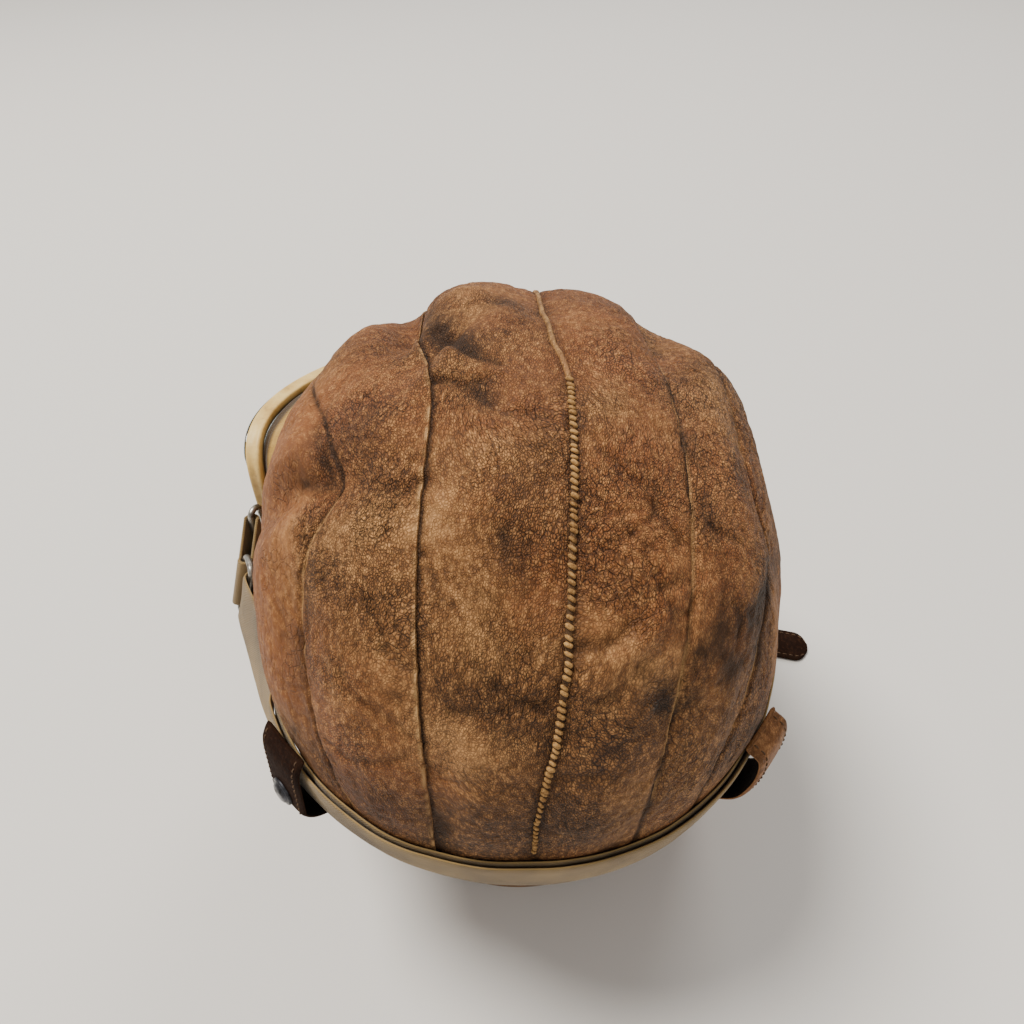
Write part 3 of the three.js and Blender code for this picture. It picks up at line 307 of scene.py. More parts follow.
# Dents (minus) and folds, as in the part: arc, lean, turn of the long axis,
# half length and half width in degrees, and height as a share of FOLD_HEIGHT
FOLDS = (
    (114, -23.5, 0, 16, 4, -2.4), (118, -10, 0, 18, 8, 0.5), (97, -13, 35, 15, 4, -1.1),
    (88, -12, 30, 10, 4, 0.6), (112, 29, 0, 15, 5, -1.7), (98, -46, 0, 16, 11, 1.0),
    (122, -36, 0, 16, 9, 0.7), (112, 43, 0, 18, 9, 1.1), (112, 3, 0, 12, 4, -0.6),
    (64, -42, 90, 20, 4, -1), (74, -45, 90, 16, 6, 0.5), (52, -42, 90, 18, 7, 0.55),
    (58, -4, 0, 8, 6, 0.4), (40, -2, 20, 10, 6, -0.5), (27, 13, -45, 12, 4, 0.55),
    (24, 17, -45, 10, 5, -0.6), (10, -12, 0, 12, 3, -0.6), (45, 60, 0, 22, 10, -0.6),
    (20, -40, 0, 16, 6, -0.5),
)

# Stains, and a few places of painted shade: the dark band along the right outer seam and the darker left side
# near the nape. Each: arc, lean, turn, half length, half width and strength
STAINS_AND_SHADE = (
    (33, 43, 0, 9, 3, 0.6), (44, 47, 0, 8, 2.5, 0.55), (24, 33, 0, 7, 3, 0.4), (107, -2, 0, 4, 4.5, 0.7),
    (70, -41, 90, 8, 4.5, 0.5), (74, -28, 30, 7, 5, 0.35), (36, 31, 10, 8, 4, 0.35),
    (4, 12, 90, 16, 5, 0.4), (4, -24, 90, 13, 6, 0.5), (2, 47, 0, 8, 8, 0.5),
    (0, -42, 0, 8, 6, 0.6), (26, -42, 0, 16, 3, 0.25), (62, -12, 20, 4, 2, 0.2), (26.5, 20, 0, 2.4, 1.6, 0.8),
)

# Places lighter from wear, or darker where the last number is below 0. Two are painted light: a painted
# highlight along the diagonal ridge on the right of the crown, and painted shade on the left side near the
# nape.
WEAR_LIGHT_AND_SHADE = (
    (40, -7, 0, 7, 6, 0.8), (21, -11, 20, 9, 5, 0.9), (56, -12, 0, 4, 3, 1.0), (63, -5, 0, 7, 5, 0.6),
    (36, 15, -45, 12, 2.5, 0.8), (85, -24, 90, 9, 7, 0.6), (54, -23, 90, 10, 4, 0.8),
    (62, 34, 0, 7, 3, 1.0), (75, 14, 0, 6, 4, 0.7), (27, 51, 0, 26, 3.5, 0.9), (55, -40, 0, 12, 5, 0.9),
    (84, 38, 0, 10, 5, 0.7), (12, 20, 0, 8, 5, 0.3), (108, -9, 0, 10, 5, 0.7), (100, 10, 0, 8, 5, 0.5),
    (78, 0, 0, 8, 6, -0.5), (52, 0, 0, 7, 4, -0.4), (30, -8, 0, 4, 7, -0.6), (19, 11, 0, 8, 9, -0.7),
    (58, 9, 0, 14, 3, -0.5), (73, -28, 30, 8, 7, -0.6), (8, -3, 90, 14, 6, -0.5),
    (26, 3, 0, 7, 3, -0.5), (47, -26, 0, 8, 6, 0.4), (40, 22, 0, 10, 5, 0.3),
    (50, 26, 0, 13, 6, 0.6), (70, 28, 0, 8, 5, 0.6), (48, 41, 0, 12, 4, 0.5), (60, 11, 0, 8, 5, 0.5),
    (3, -26, 0, 8, 8, -0.9), (22, -38, 0, 12, 4, -0.4),
)
# Places rubbed to a shine
POLISHED = ((27, 18.5, 0, 1.8, 0.8, 1.6), (37, 17, -45, 6, 2, 0.4))

# Creases and ridges, picked on the photo and put in degrees over the crown:
# half width in degrees, height in mm, darkness, then the arc and lean of each point
# The darkness is painted shade along the creases and on the shaded sides of folds; below 0 it is a painted
# highlight on a ridge.
CREASES = (
    (4.2, -0.6, 0.5, (108, -18), (99, -14), (93, -10)),
    (2.4, -1, 0.6, (100, -16), (92, -11.5), (87.5, -8)),
    (1, -0.5, 0.8, (93, -14.5), (88, -10.5), (85, -7), (82.5, -3.5)),
    (4.5, 1, 0, (112, -10), (104, -5), (98, 0)),
    (1.5, 0.5, -0.2, (92, -14.9), (84, -9.8), (81.5, -6.8), (79, -3.9)),
    (0.9, -0.9, 0.7, (81, -14.8), (80, -11.6), (78, -9.4)),
    (0.7, -0.6, 0.6, (79, -7.6), (79, -3.5)),
    (0.9, -0.6, 0.6, (78, -8.3), (75, -6.5), (73, -5.2), (72, -4.4), (71, -3.2), (71, 1.2), (71, 4.3)),
    (2.6, -0.3, 0.55, (76, -6.2), (74, -5.2)),
    (1.2, -0.7, 0.55, (81, -38.9), (72, -35.5), (65, -33.6)),
    (1.2, -0.8, 0.6, (66, -40.7), (62, -31.6)),
    (1.2, -0.9, 0.45, (64, -27.5), (61, -24.3), (59, -18.2), (60, -15.1)),
    (0.9, -0.4, 0.5, (46, -30.5), (42, -28.5)),
    (2.4, -0.2, 0.5, (40, -35), (37, -35)),
    (1.8, -0.3, 0.5, (33, -37.8), (23, -38.5), (13, -38.1)),
    (0.7, -0.5, 0.5, (42, -21.3), (36, -19.9), (33, -17), (32, -14.9)),
    (0.7, -0.5, 0.45, (30, -26.6), (28, -24.6), (25, -21), (24, -18.7), (22, -16.2)),
    (0.7, -0.5, 0.4, (29, -21.9), (28, -18.6), (26, -15.5)),
    (0.7, -0.4, 0.4, (14, -32), (14, -27.2), (15, -22.2), (18, -16.5)),
    (0.9, 0.5, 0, (42, -11.3), (43, -7.1), (44, -5.1), (44, -4.2)),
    (0.9, -0.6, 0.5, (42, -11.3), (42, -9), (43, -6.8), (43, -5)),
    (0.7, -0.6, 0.5, (42, -3.4), (39, -2.3), (36, -0.7), (35, 1.2)),
    (0.7, -0.5, 0.45, (40, -5), (36, -3.1), (34, -1.5)),
    (0.7, -0.5, 0.45, (36, -7.1), (32, -4.7), (29, -0.9), (27, 3)),
    (0.9, -0.5, 0.45, (27, -9.7), (27, -4.4), (28, -0.4), (28, 3.4)),
    (0.7, -0.5, 0.4, (48, -10.5), (45, -8.2), (44, -6.6)),
    (0.7, -0.5, 0.4, (49, -13.8), (45, -11.9), (43, -10.7)),
    (0.9, -0.3, 0.7, (52, -2.8), (49, -2.3), (48, -2)),
    (2.6, 0, 0.35, (50, -1.2), (45, -0.4)),
    (4.1, 0, 0.33, (30, -9.2), (30, -4.4)),
    (0.7, -0.6, 0.5, (68, 10), (65, 12.5), (62, 14.3), (60, 17.2), (59, 19.7)),
    (0.7, -0.5, 0.5, (63, 17.5), (61, 19.2), (59, 21.1)),
    (0.7, -0.5, 0.45, (57, 10.8), (55, 13.2), (52, 15.5), (50, 17.6)),
    (0.9, -0.7, 0.55, (57, 19.3), (54, 21.4), (51, 23.7)),
    (0.7, -0.5, 0.45, (50, 11.5), (52, 15.6), (55, 19), (58, 21)),
    (0.7, -0.5, 0.45, (49, 17.2), (46, 18.6), (44, 19.9)),
    (0.7, -0.6, 0.5, (44, 19.5), (42, 20.2), (40, 22.3), (40, 24.6)),
    (0.7, -0.5, 0.45, (41, 20.2), (39, 21.5), (37, 23)),
    (0.7, -0.5, 0.4, (44, 20.2), (45, 22.8), (45, 24.8)),
    (1.2, -0.8, 0.5, (36, 7), (36, 10.3), (37, 13), (39, 15)),
    (1.8, 0.8, -0.1, (41, 20.4), (37, 16.8), (34, 12.7), (31, 8.9)),
    (0.9, -0.7, 0.55, (33, 16), (31, 17.3), (27, 18.2)),
    (2.4, -0.3, 0.75, (28, 20), (25, 20.6)),
    (1.5, -0.5, 0.4, (28, 10.4), (30, 14.6), (33, 16.6)),
    (2.1, 0, 0.55, (33, 26), (27, 25.6), (25, 25)),
    (1.5, -0.5, 0.45, (48, 31.9), (43, 31.9), (38, 30.4)),
    (2.6, -0.3, 0.45, (35, 29.2), (29, 32.2)),
    (4.1, 0, 0.5, (36, 35.8), (28, 39.5)),
    (2.1, -0.4, 0.55, (50, 58.2), (42, 46.1), (38, 38.1)),
    (0.7, -0.5, 0.4, (41, 33.3), (38, 34.7), (32, 33.8), (27, 37.2)),
    (0.9, 0.4, -0.2, (28, 26.6), (26, 28.8), (22, 32.6)),
    (2.6, 0, 0.5, (59, 29.4), (55, 29.6)),
    (3.2, 0, 0.4, (72, 28.5), (69, 28.8)),
    (0.7, -0.5, 0.4, (54, 29.9), (53, 31.7), (52, 35.7)),
    (2.6, 0, 0.3, (69, 39.9), (64, 39.7)),
    (2.1, -0.8, 0.7, (1, -12.8), (-10, -12.7)),
    (2.4, -0.6, 0.6, (-10, 11.3), (-6, 14.7)),
    (0.9, -0.4, 0.4, (16, 4.7), (16, 10.9), (12, 17.5)),
)

# How the outer face meets each seam: height at the edge and how far that reaches in, in mm
EDGE_SHAPES = {
    "plain": (-0.95, 1.5),
    "over": (0.3, 3.0),
    "under": (-0.9, 1.8),
    "welt": (-0.7, 2.2),
    "hem": (0.0, 1.0),
}


# Shared formulas

def bell(distance, width):
    """1 at no distance, falling off smoothly over a width."""
    return np.exp(-((distance / width) ** 2))


def lengths_along(points):
    """Length of the run from its start to each of its points."""
    steps = np.linalg.norm(np.diff(points, axis=0), axis=1)
    return np.concatenate([[0], np.cumsum(steps)])


def dot(first, second):
    return np.einsum("ij,ij->i", first, second)[:, None]


def unit(vectors):
    return vectors / np.maximum(np.linalg.norm(vectors, axis=-1, keepdims=True), TINY)


def smooth_power(value, power):
    return np.sign(value) * np.abs(value) ** power


def smooth(t):
    held = np.clip(t, 0, 1)
    return held * held * (3 - 2 * held)


def along(table, key, column, place):
    """Smooth values of one column of a table at places along its key column."""
    keys = np.array(table[key], float)
    values = np.array(table[column], float)
    slopes = np.empty(len(keys))
    slopes[1:-1] = (values[2:] - values[:-2]) / (keys[2:] - keys[:-2])
    slopes[0] = (values[1] - values[0]) / (keys[1] - keys[0])
    slopes[-1] = (values[-1] - values[-2]) / (keys[-1] - keys[-2])
    held = np.clip(place, keys[0], keys[-1])
    i = np.clip(np.searchsorted(keys, held, side="right") - 1, 0, len(keys) - 2)
    span = keys[i + 1] - keys[i]
    t = (held - keys[i]) / span
    t2, t3 = t * t, t * t * t
    return (
        (2 * t3 - 3 * t2 + 1) * values[i]
        + (t3 - 2 * t2 + t) * span * slopes[i]
        + (3 * t2 - 2 * t3) * values[i + 1]
        + (t3 - t2) * span * slopes[i + 1]
    )


def turn_of(points):
    return np.arctan2(points[..., 0], -points[..., 1]) / DEGREE


def outward(turn):
    turn = np.asarray(turn, float)
    return np.stack([np.sin(turn * DEGREE), -np.cos(turn * DEGREE), 0 * turn], axis=-1)


def widest_radius(turn):
    side = np.abs(np.sin(turn * DEGREE)) / HALF_WIDTH
    facing = -np.cos(turn * DEGREE)
    fore = np.abs(facing) / np.where(facing < 0, REAR_REACH, FRONT_REACH)
    return (side**ROUNDNESS + fore**ROUNDNESS) ** (-1 / ROUNDNESS)


def shell_radius(turn, level):
    """Distance from the axis to the plain outer face."""
    turn, level = np.broadcast_arrays(np.asarray(turn, float), np.asarray(level, float))
    climb = np.clip((level - WIDEST_LEVEL) / CROWN_RISE, 0, 1)
    over = (1 - climb**ROUNDNESS) ** (1 / ROUNDNESS)
    drop = np.clip(1 - level / WIDEST_LEVEL, 0, 1)
    side = along(LOWER_WALL, "drop", "side", drop)
    rear = along(LOWER_WALL, "drop", "rear", drop)
    under = side + (rear - side) * smooth(np.cos(turn * DEGREE))
    return widest_radius(turn) * np.where(level >= WIDEST_LEVEL, over, under)


def plain_reach(direction):
    """Distance from the crown's centre to the plain form in a direction."""
    flat = np.maximum(np.hypot(direction[..., 0], direction[..., 1]), TINY)
    turn = turn_of(direction)
    widest = widest_radius(turn)
    rise = np.maximum(direction[..., 2], 0) / CROWN_RISE
    over = ((flat / widest) ** ROUNDNESS + rise**ROUNDNESS) ** (-1 / ROUNDNESS)
    under = widest / flat
    for _ in range(4):
        level = WIDEST_LEVEL + np.minimum(direction[..., 2], 0) * under
        under = shell_radius(turn, level) / flat
    return np.where(direction[..., 2] >= 0, over, under)


def edge_level(turn):
    rise = along(CROWN_EDGE, "turn", "rise", np.abs(turn))
    return SEAM_LEVEL + (BROW_LEVEL - SEAM_LEVEL) * rise


def arc_of(direction):
    arc = np.arctan2(direction[..., 2], -direction[..., 1]) / DEGREE
    return np.where(arc < -90, arc + 360, arc)


def lean_of(direction):
    return np.arcsin(np.clip(direction[..., 0], -1, 1)) / DEGREE


def direction_at(arc, lean):
    flat = np.cos(lean * DEGREE)
    return np.stack(
        [np.sin(lean * DEGREE) + 0 * arc, -flat * np.cos(arc * DEGREE), flat * np.sin(arc * DEGREE)],
        axis=-1,
    )


def edge_share(direction):
    """0 at the crown's lower edge to 1 well above it."""
    level = WIDEST_LEVEL + direction[..., 2] * plain_reach(direction)
    return smooth((level - edge_level(turn_of(direction))) / EDGE_FADE)


def spot(arc, lean, place):
    """A soft spot on the crown: arc, lean, turn, half length, half width and height."""
    middle_arc, middle_lean, turn, long, wide, high = place
    along_arc = (arc - middle_arc) * np.cos(lean * DEGREE)
    along_lean = lean - middle_lean
    cos, sin = math.cos(turn * DEGREE), math.sin(turn * DEGREE)
    a = (along_arc * cos + along_lean * sin) / long
    b = (along_lean * cos - along_arc * sin) / wide
    return high * np.exp(-a * a - b * b)


def relief(direction):
    """Height of the puffed panels and of the folds over the plain form, as in the part."""
    arc, lean = arc_of(direction), lean_of(direction)
    gaps = [np.abs(lean - along(rows, "arc", "lean", arc)) for rows in SEAMS.values()]
    puff = PANEL_PUFF * (1 - bell(np.min(gaps, axis=0), SEAM_PINCH_ANGLE))
    folds = sum(FOLD_HEIGHT * spot(arc, lean, fold) for fold in FOLDS)
    return (puff + folds) * edge_share(direction)


def crown_point_at(turn, level, out):
    """Point of the crown's outer face at a turn and level, moved out by a distance."""
    turn, level, out = np.broadcast_arrays(turn, level, out)
    plain = shell_radius(turn, level)
    radius = plain
    for _ in range(3):
        direction = outward(turn) * radius[..., None]
        direction[..., 2] = level - WIDEST_LEVEL
        radius = plain + relief(unit(direction))
    point = outward(turn) * (radius + out)[..., None]
    point[..., 2] = level
    return point


def wall_point(turn, level, out):
    turn, level, out = np.broadcast_arrays(np.asarray(turn, float), level, out)
    point = outward(turn) * (shell_radius(turn, level) + out)[..., None]
    point[..., 2] = level
    return point


# Where the frame holds the crown's axis
nape_top = shell_radius(0.0, SEAM_LEVEL - SEAM_GAP)
AXIS = np.array([
    (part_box("ear_flap_left")[0].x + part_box("ear_flap_right")[1].x) / 2 / MM,
    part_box("neck_curtain")[0].y / MM + float(nape_top),
    0.0,
])


# Noise over arrays of points

def noise_of(points, wavelength, seed, octaves=1):
    """Smooth noise from about -1 to 1 at points in millimetres."""
    shift = Vector((seed * 17.3, seed * 5.1, seed * 11.7))
    flat = points.reshape(-1, 3) / wavelength
    if octaves == 1:
        values = [noise.noise(Vector(p) + shift) for p in flat]
    else:
        values = [noise.fractal(Vector(p) + shift, 1.0, 2.0, octaves) for p in flat]
    return np.array(values).reshape(points.shape[:-1])


# Meshes

def in_scene(name, data):
    made = bpy.data.objects.new(name, data)
    bpy.context.scene.collection.objects.link(made)
    return made


def make_mesh(name, points, faces, attributes=None, sharp=50, uvs=None):
    """A smooth-shaded object from points in millimetres round the crown's axis."""
    mesh = bpy.data.meshes.new(name)
    mesh.from_pydata(((np.asarray(points) + AXIS) * MM).tolist(), [], [list(f) for f in faces])
    mesh.polygons.foreach_set("use_smooth", [True] * len(mesh.polygons))
    mesh.set_sharp_from_angle(angle=sharp * DEGREE)
    for key, values in (attributes or {}).items():
        layer = mesh.attributes.new(key, "FLOAT", "POINT")
        layer.data.foreach_set("value", np.asarray(values, np.float32).ravel())
    if uvs is not None:
        layer = mesh.uv_layers.new(name="UVMap")
        corners = np.empty(len(mesh.loops), np.int32)
        mesh.loops.foreach_get("vertex_index", corners)
        layer.data.foreach_set("uv", np.asarray(uvs, np.float32)[corners].ravel())
    mesh.validate()
    mesh.update()
    return in_scene(name, mesh)


def oriented(made):
    """The object with all its faces turned outwards."""
    mesh = made.data
    points = np.empty(len(mesh.vertices) * 3)
    mesh.vertices.foreach_get("co", points)
    mesh.calc_loop_triangles()
    triangles = np.empty(len(mesh.loop_triangles) * 3, np.int32)
    mesh.loop_triangles.foreach_get("vertices", triangles)
    corners = points.reshape(-1, 3)[triangles.reshape(-1, 3)]
    if (corners[:, 0] * np.cross(corners[:, 1], corners[:, 2])).sum() < 0:
        mesh.flip_normals()
    return made


def rim_places(rows, columns):
    """Numbers of a grid's outermost points, once round."""
    top = np.arange(columns - 1)
    right = np.arange(rows - 1) * columns + columns - 1
    low = (rows - 1) * columns + np.arange(columns - 1, 0, -1)
    left = np.arange(rows - 1, 0, -1) * columns
    return np.concatenate([top, right, low, left])


def make_sheet(name, outer, inner, attributes=None, round_out=0.0, steps=3, sharp=60, uvs=None):
    """A closed sheet between two grids of points, with a rounded rim.

    The inner face and the rim carry the attribute inside 1, and the rim carries rim 1."""
    rows, columns = outer.shape[:2]
    size = rows * columns
    rim = rim_places(rows, columns)
    next_in = np.clip(rim // columns, 1, rows - 2) * columns + np.clip(rim % columns, 1, columns - 2)
    flat_outer, flat_inner = outer.reshape(-1, 3), inner.reshape(-1, 3)
    middle, half = (flat_outer[rim] + flat_inner[rim]) / 2, (flat_outer[rim] - flat_inner[rim]) / 2
    away = unit(flat_outer[rim] - flat_outer[next_in])
    away = away * np.linalg.norm(half, axis=-1, keepdims=True) * round_out
    points, rings = [flat_outer, flat_inner], [rim]
    for step in range(1, steps):
        angle = math.pi * step / steps
        rings.append(2 * size + (step - 1) * len(rim) + np.arange(len(rim)))
        points.append(middle + half * math.cos(angle) + away * math.sin(angle))
    rings.append(rim + size)
    corner = (np.arange(rows - 1)[:, None] * columns + np.arange(columns - 1)).ravel()
    quads = np.stack([corner, corner + 1, corner + 1 + columns, corner + columns], axis=-1)
    faces = [quads, quads[:, ::-1] + size]
    for near, far in zip(rings[:-1], rings[1:]):
        faces.append(np.stack([near, far, np.roll(far, -1), np.roll(near, -1)], axis=-1))
    extra = (steps - 1) * len(rim)
    layers = {}
    for key, values in (attributes or {}).items():
        flat = np.broadcast_to(values, (rows, columns)).ravel()
        layers[key] = np.concatenate([flat, flat, np.zeros(extra)])
    layers["inside"] = np.repeat([0, 1, 1], [size, size, extra])
    layers["rim"] = np.repeat([0, 0, 1], [size, size, extra])
    if uvs is not None:
        flat = uvs.reshape(-1, 2)
        uvs = np.concatenate([flat, flat, np.tile(flat[rim], (steps - 1, 1))])
    return oriented(make_mesh(name, np.concatenate(points), np.concatenate(faces), layers, sharp, uvs))


def swept(middles, across, out, wide, high):
    """Rings of points: at each place a section, wide along across and high along out."""
    return middles[:, None] + across[:, None] * wide[..., None] + out[:, None] * high[..., None]


def tube(rings, closed=False):
    """Points and faces of a skin over rings of points, with flat ends unless it runs round."""
    count, sides = rings.shape[:2]
    faces = []
    for step in range(count if closed else count - 1):
        here, there = step * sides, (step + 1) % count * sides
        for side in range(sides):
            after = (side + 1) % sides
            faces.append((here + side, here + after, there + after, there + side))
    if not closed:
        faces.append(tuple(range(sides))[::-1])
        faces.append(tuple((count - 1) * sides + side for side in range(sides)))
    return rings.reshape(-1, 3), faces


def run_frames(middles, across, closed=False):
    """Across and out directions, square to the run, at each place along it."""
    if closed:
        run = unit(np.roll(middles, -1, axis=0) - np.roll(middles, 1, axis=0))
    else:
        run = unit(np.gradient(middles, axis=0))
    across = np.broadcast_to(across, middles.shape)
    across = unit(across - run * dot(across, run))
    return across, np.cross(run, across)


def rounded_section(half, power, sides):
    """A rounded rectangle: -1 to 1 one way, and -half to half the other."""
    angles = np.linspace(0, 2 * math.pi, sides, endpoint=False)
    return np.stack([
        smooth_power(np.cos(angles), 2 / power), smooth_power(np.sin(angles), 2 / power) * half], axis=-1)


def stitch_part(start, end, lift, radius, sides=6):
    """A short thread from start to end that humps over the surface along lift."""
    share = np.linspace(0, 1, STITCH_STEPS)
    middles = start + (end - start) * share[:, None] + lift * np.sin(math.pi * share)[:, None]
    run = unit(np.gradient(middles, axis=0))
    side = unit(np.cross(run, unit(lift)))
    thick = radius * np.sqrt(np.clip(1 - (2 * share - 1) ** 6, 0.05, 1))[:, None]
    angles = np.arange(sides) * 2 * math.pi / sides
    return tube(swept(middles, side, np.cross(side, run), np.cos(angles) * thick, np.sin(angles) * thick))


def stitch_line(path, normals, pitch, length, radius):
    """Stitches along a path that lie on a surface with these normals."""
    place = lengths_along(path)
    run = unit(np.gradient(path, axis=0))
    parts = []
    for at in np.arange(pitch / 2, place[-1] - pitch / 2, pitch):
        middle, ahead, normal = (
            np.array([np.interp(at, place, values[:, k]) for k in range(3)])
            for values in (path, run, normals)
        )
        normal = unit(normal)
        reach = ahead * length / 2
        seat = middle - normal * STITCH_SINK
        parts.append(stitch_part(seat - reach, seat + reach, normal * (STITCH_SINK + radius), radius))
    return parts


def sew(name, parts, material, slot):
    """One piece from the points and faces of many stitches."""
    points, faces, start = [], [], 0
    for part_points, part_faces in parts:
        points.append(part_points)
        faces += [tuple(start + v for v in face) for face in part_faces]
        start += len(part_points)
    finish_piece(make_mesh(name, np.concatenate(points), faces), material, slot)


# Materials

class Value:
    """A shader value that takes part in sums and products like a number."""

    def __init__(self, nodes, socket):
        self.nodes = nodes
        self.socket = socket

    def __add__(self, other):
        return self.nodes.maths("ADD", self, other)

    def __mul__(self, other):
        return self.nodes.maths("MULTIPLY", self, other)

    def __sub__(self, other):
        return self.nodes.maths("SUBTRACT", self, other)

    def __rsub__(self, other):
        return self.nodes.maths("SUBTRACT", other, self)

    def __truediv__(self, other):
        return self.nodes.maths("DIVIDE", self, other)

    def at_most(self, other):
        return self.nodes.maths("MINIMUM", self, other)


class Nodes:
    """A material whose shader nodes are added and linked one after another."""

    def __init__(self, name):
        self.material = bpy.data.materials.new(name)
        self.material.use_nodes = True
        self.tree = self.material.node_tree
        self.tree.nodes.clear()
        self.output = self.tree.nodes.new("ShaderNodeOutputMaterial")

    def add(self, kind, inputs, output, **settings):
        made = self.tree.nodes.new("ShaderNode" + kind)
        for key, value in settings.items():
            setattr(made, key, value)
        for key, value in inputs.items():
            self.put(made.inputs[key], value)
        return Value(self, made.outputs[output])

    def put(self, socket, value):
        if isinstance(value, Value):
            self.tree.links.new(value.socket, socket)
        else:
            socket.default_value = value

    def maths(self, operation, a, b=0.0):
        return self.add("Math", {0: a, 1: b}, 0, operation=operation)

    def vectors(self, operation, a, b):
        key = "Scale" if operation == "SCALE" else 1
        return self.add("VectorMath", {0: a, key: b}, 0, operation=operation)

    def place(self):
        return self.add("TexCoord", {}, "Object")

    def attribute(self, name):
        return self.add("Attribute", {}, "Fac", attribute_name=name)

    def noise(self, vector, scale, detail=3.0, rough=0.55):
        inputs = {"Vector": vector, "Scale": scale, "Detail": detail, "Roughness": rough}
        return self.add("TexNoise", inputs, "Fac")

    def cells(self, vector, scale, wall):
        """0 on the borders between cells, rising to 1 over the width of a wall."""
        inputs = {"Vector": vector, "Scale": scale}
        edge = self.add("TexVoronoi", inputs, "Distance", feature="DISTANCE_TO_EDGE")
        return edge.at_most(wall) / wall

    def ramp(self, value, *stops):
        made = self.add("ValToRGB", {"Fac": value}, "Color")
        elements = made.socket.node.color_ramp.elements
        while len(elements) < len(stops):
            elements.new(0.5)
        for element, (place, colour) in zip(elements, stops):
            element.position = place
            element.color = (*(colour if isinstance(colour, tuple) else (colour,) * 3), 1)
        return made

    def mix(self, share, a, b, blend="MIX"):
        inputs = {0: share}
        for key, value in ((6, a), (7, b)):
            inputs[key] = (*value, 1) if isinstance(value, tuple) else value
        return self.add("Mix", inputs, 2, data_type="RGBA", blend_type=blend)

    def bump(self, height, distance, strength=1.0, **more):
        return self.add("Bump", {"Height": height, "Distance": distance, "Strength": strength, **more}, 0)

    def shade(self, **inputs):
        named = {}
        for key, value in inputs.items():
            key = key.replace("_", " ").title().replace("Ior", "IOR")
            named[key] = (*value, 1) if isinstance(value, tuple) else value
        shader = self.add("BsdfPrincipled", named, 0)
        self.tree.links.new(shader.socket, self.output.inputs["Surface"])
        return self.material


def toned(colour, *shares):
    """A colour with all its channels, or each of them, made stronger or weaker."""
    shares = shares * 3 if len(shares) == 1 else shares
    return tuple(min(v * share, 1) for v, share in zip(colour, shares))


def leather_material(name, dark, middle, tan, grain=0.4, seed=0.0, rough=0.55, inner=FLESH, shine=0.3):
    """Pebbled, mottled leather. The inner face is the plain back of the hide, or near black where it is
    painted shade inside a loop's hollow.
    """
    n = Nodes(name)
    shifted = n.vectors("ADD", n.place(), (seed, seed * 0.7, -seed))

    # The grain runs in streams that turn over a few centimetres, and is drawn out along them
    def bent(vector, scale, detail, reach):
        turning = n.add("TexNoise", {"Vector": vector, "Scale": scale, "Detail": detail}, "Color")
        turning = n.vectors("SUBTRACT", turning, (0.5, 0.5, 0.5))
        return n.vectors("ADD", vector, n.vectors("SCALE", turning, reach))

    streams = n.vectors("MULTIPLY", bent(shifted, 24.0, 1.0, 0.018), (1.0, 0.68, 0.68))
    streams = bent(streams, 500.0, 2.0, 0.001)
    pebble = n.cells(streams, 1500.0, 0.28)
    crease = (1.0 - n.cells(streams, 500.0, 0.09)) * n.ramp(n.noise(shifted, 55.0, 2.0), (0.44, 0), (0.6, 1))
    ridges = n.noise(streams, 640.0, 3.0, 0.6)

    # Where the grain is strong or worn smooth
    calm = n.attribute("calm")
    strong = n.ramp(n.noise(shifted, 28.0, 3.0), (0.34, 0.5), (0.6, 1)) * (1.0 - calm)
    height = pebble * 0.6 * strong - crease * 0.7 + ridges * 1.7 * strong

    # Broad mottling with places of wear and stains, some of which are painted light and shade, then painted
    # shade in the grain's valleys and painted highlights on its tops
    medium = n.noise(shifted, 75.0, 4.0, 0.65)
    mottle = n.noise(shifted, 24.0, 4.0, 0.6) * 0.27 + medium * 0.27 + ridges * 0.46
    plain = calm * 0.6
    mottle = mottle * (1.0 - plain) + plain * 0.5 + n.attribute("wear_light_and_shade") * 0.13
    colour = n.ramp(mottle, (0.34, dark), (0.5, middle), (0.64, tan))
    red = n.ramp(n.noise(shifted, 16.0, 2.0), (0.45, 0), (0.62, 0.5))
    colour = n.mix(red, colour, toned(middle, 1.2, 0.85, 0.75))
    # The stained places also carry painted shade: the creases, the lapped seam's shadow and the shaded places
    # in the stain table
    stain = (n.attribute("stain") * n.ramp(medium, (0.32, 0.6), (0.56, 1.15))).at_most(0.94)
    colour = n.mix(stain, colour, toned(dark, 0.5))
    valley_shade = n.ramp(pebble - crease * 0.6, (0.0, 0.22), (0.8, 1.2))
    colour = n.mix(strong * (0.95 * grain), colour, n.mix(1.0, colour, valley_shade, "MULTIPLY"))
    top_highlight = n.ramp(ridges, (0.5, 0), (0.64, 1)) * pebble * (1.0 - stain)
    colour = n.mix(top_highlight * 0.55, colour, toned(tan, 1.2))

    # Rubbed edges, the paler raw edges of the cut leather, and the inner face: the back of the hide, or
    # painted shade inside the loops
    colour = n.mix(n.attribute("rub").at_most(0.85), colour, toned(tan, 1.25, 1.45, 1.6))
    rim = n.attribute("rim")
    colour = n.mix(rim * 0.45, colour, toned(tan, 0.9))
    inner_face_colour = n.mix(n.noise(shifted, 900.0), toned(inner, 0.75), inner)
    under = n.attribute("inside") * (1.0 - rim)
    colour = n.mix(under, colour, inner_face_colour)
    roughness = medium * 0.22 + (rough - 0.1) - n.attribute("polish") * 0.33 + under * 0.3
    normal = n.bump(height, 0.0004 * grain)
    normal = n.bump(n.noise(streams, 190.0, 3.0, 0.5), 0.0018 * grain, 0.8, Normal=normal)
    return n.shade(Base_Color=colour, Roughness=roughness, Normal=normal, Specular_IOR_Level=shine)


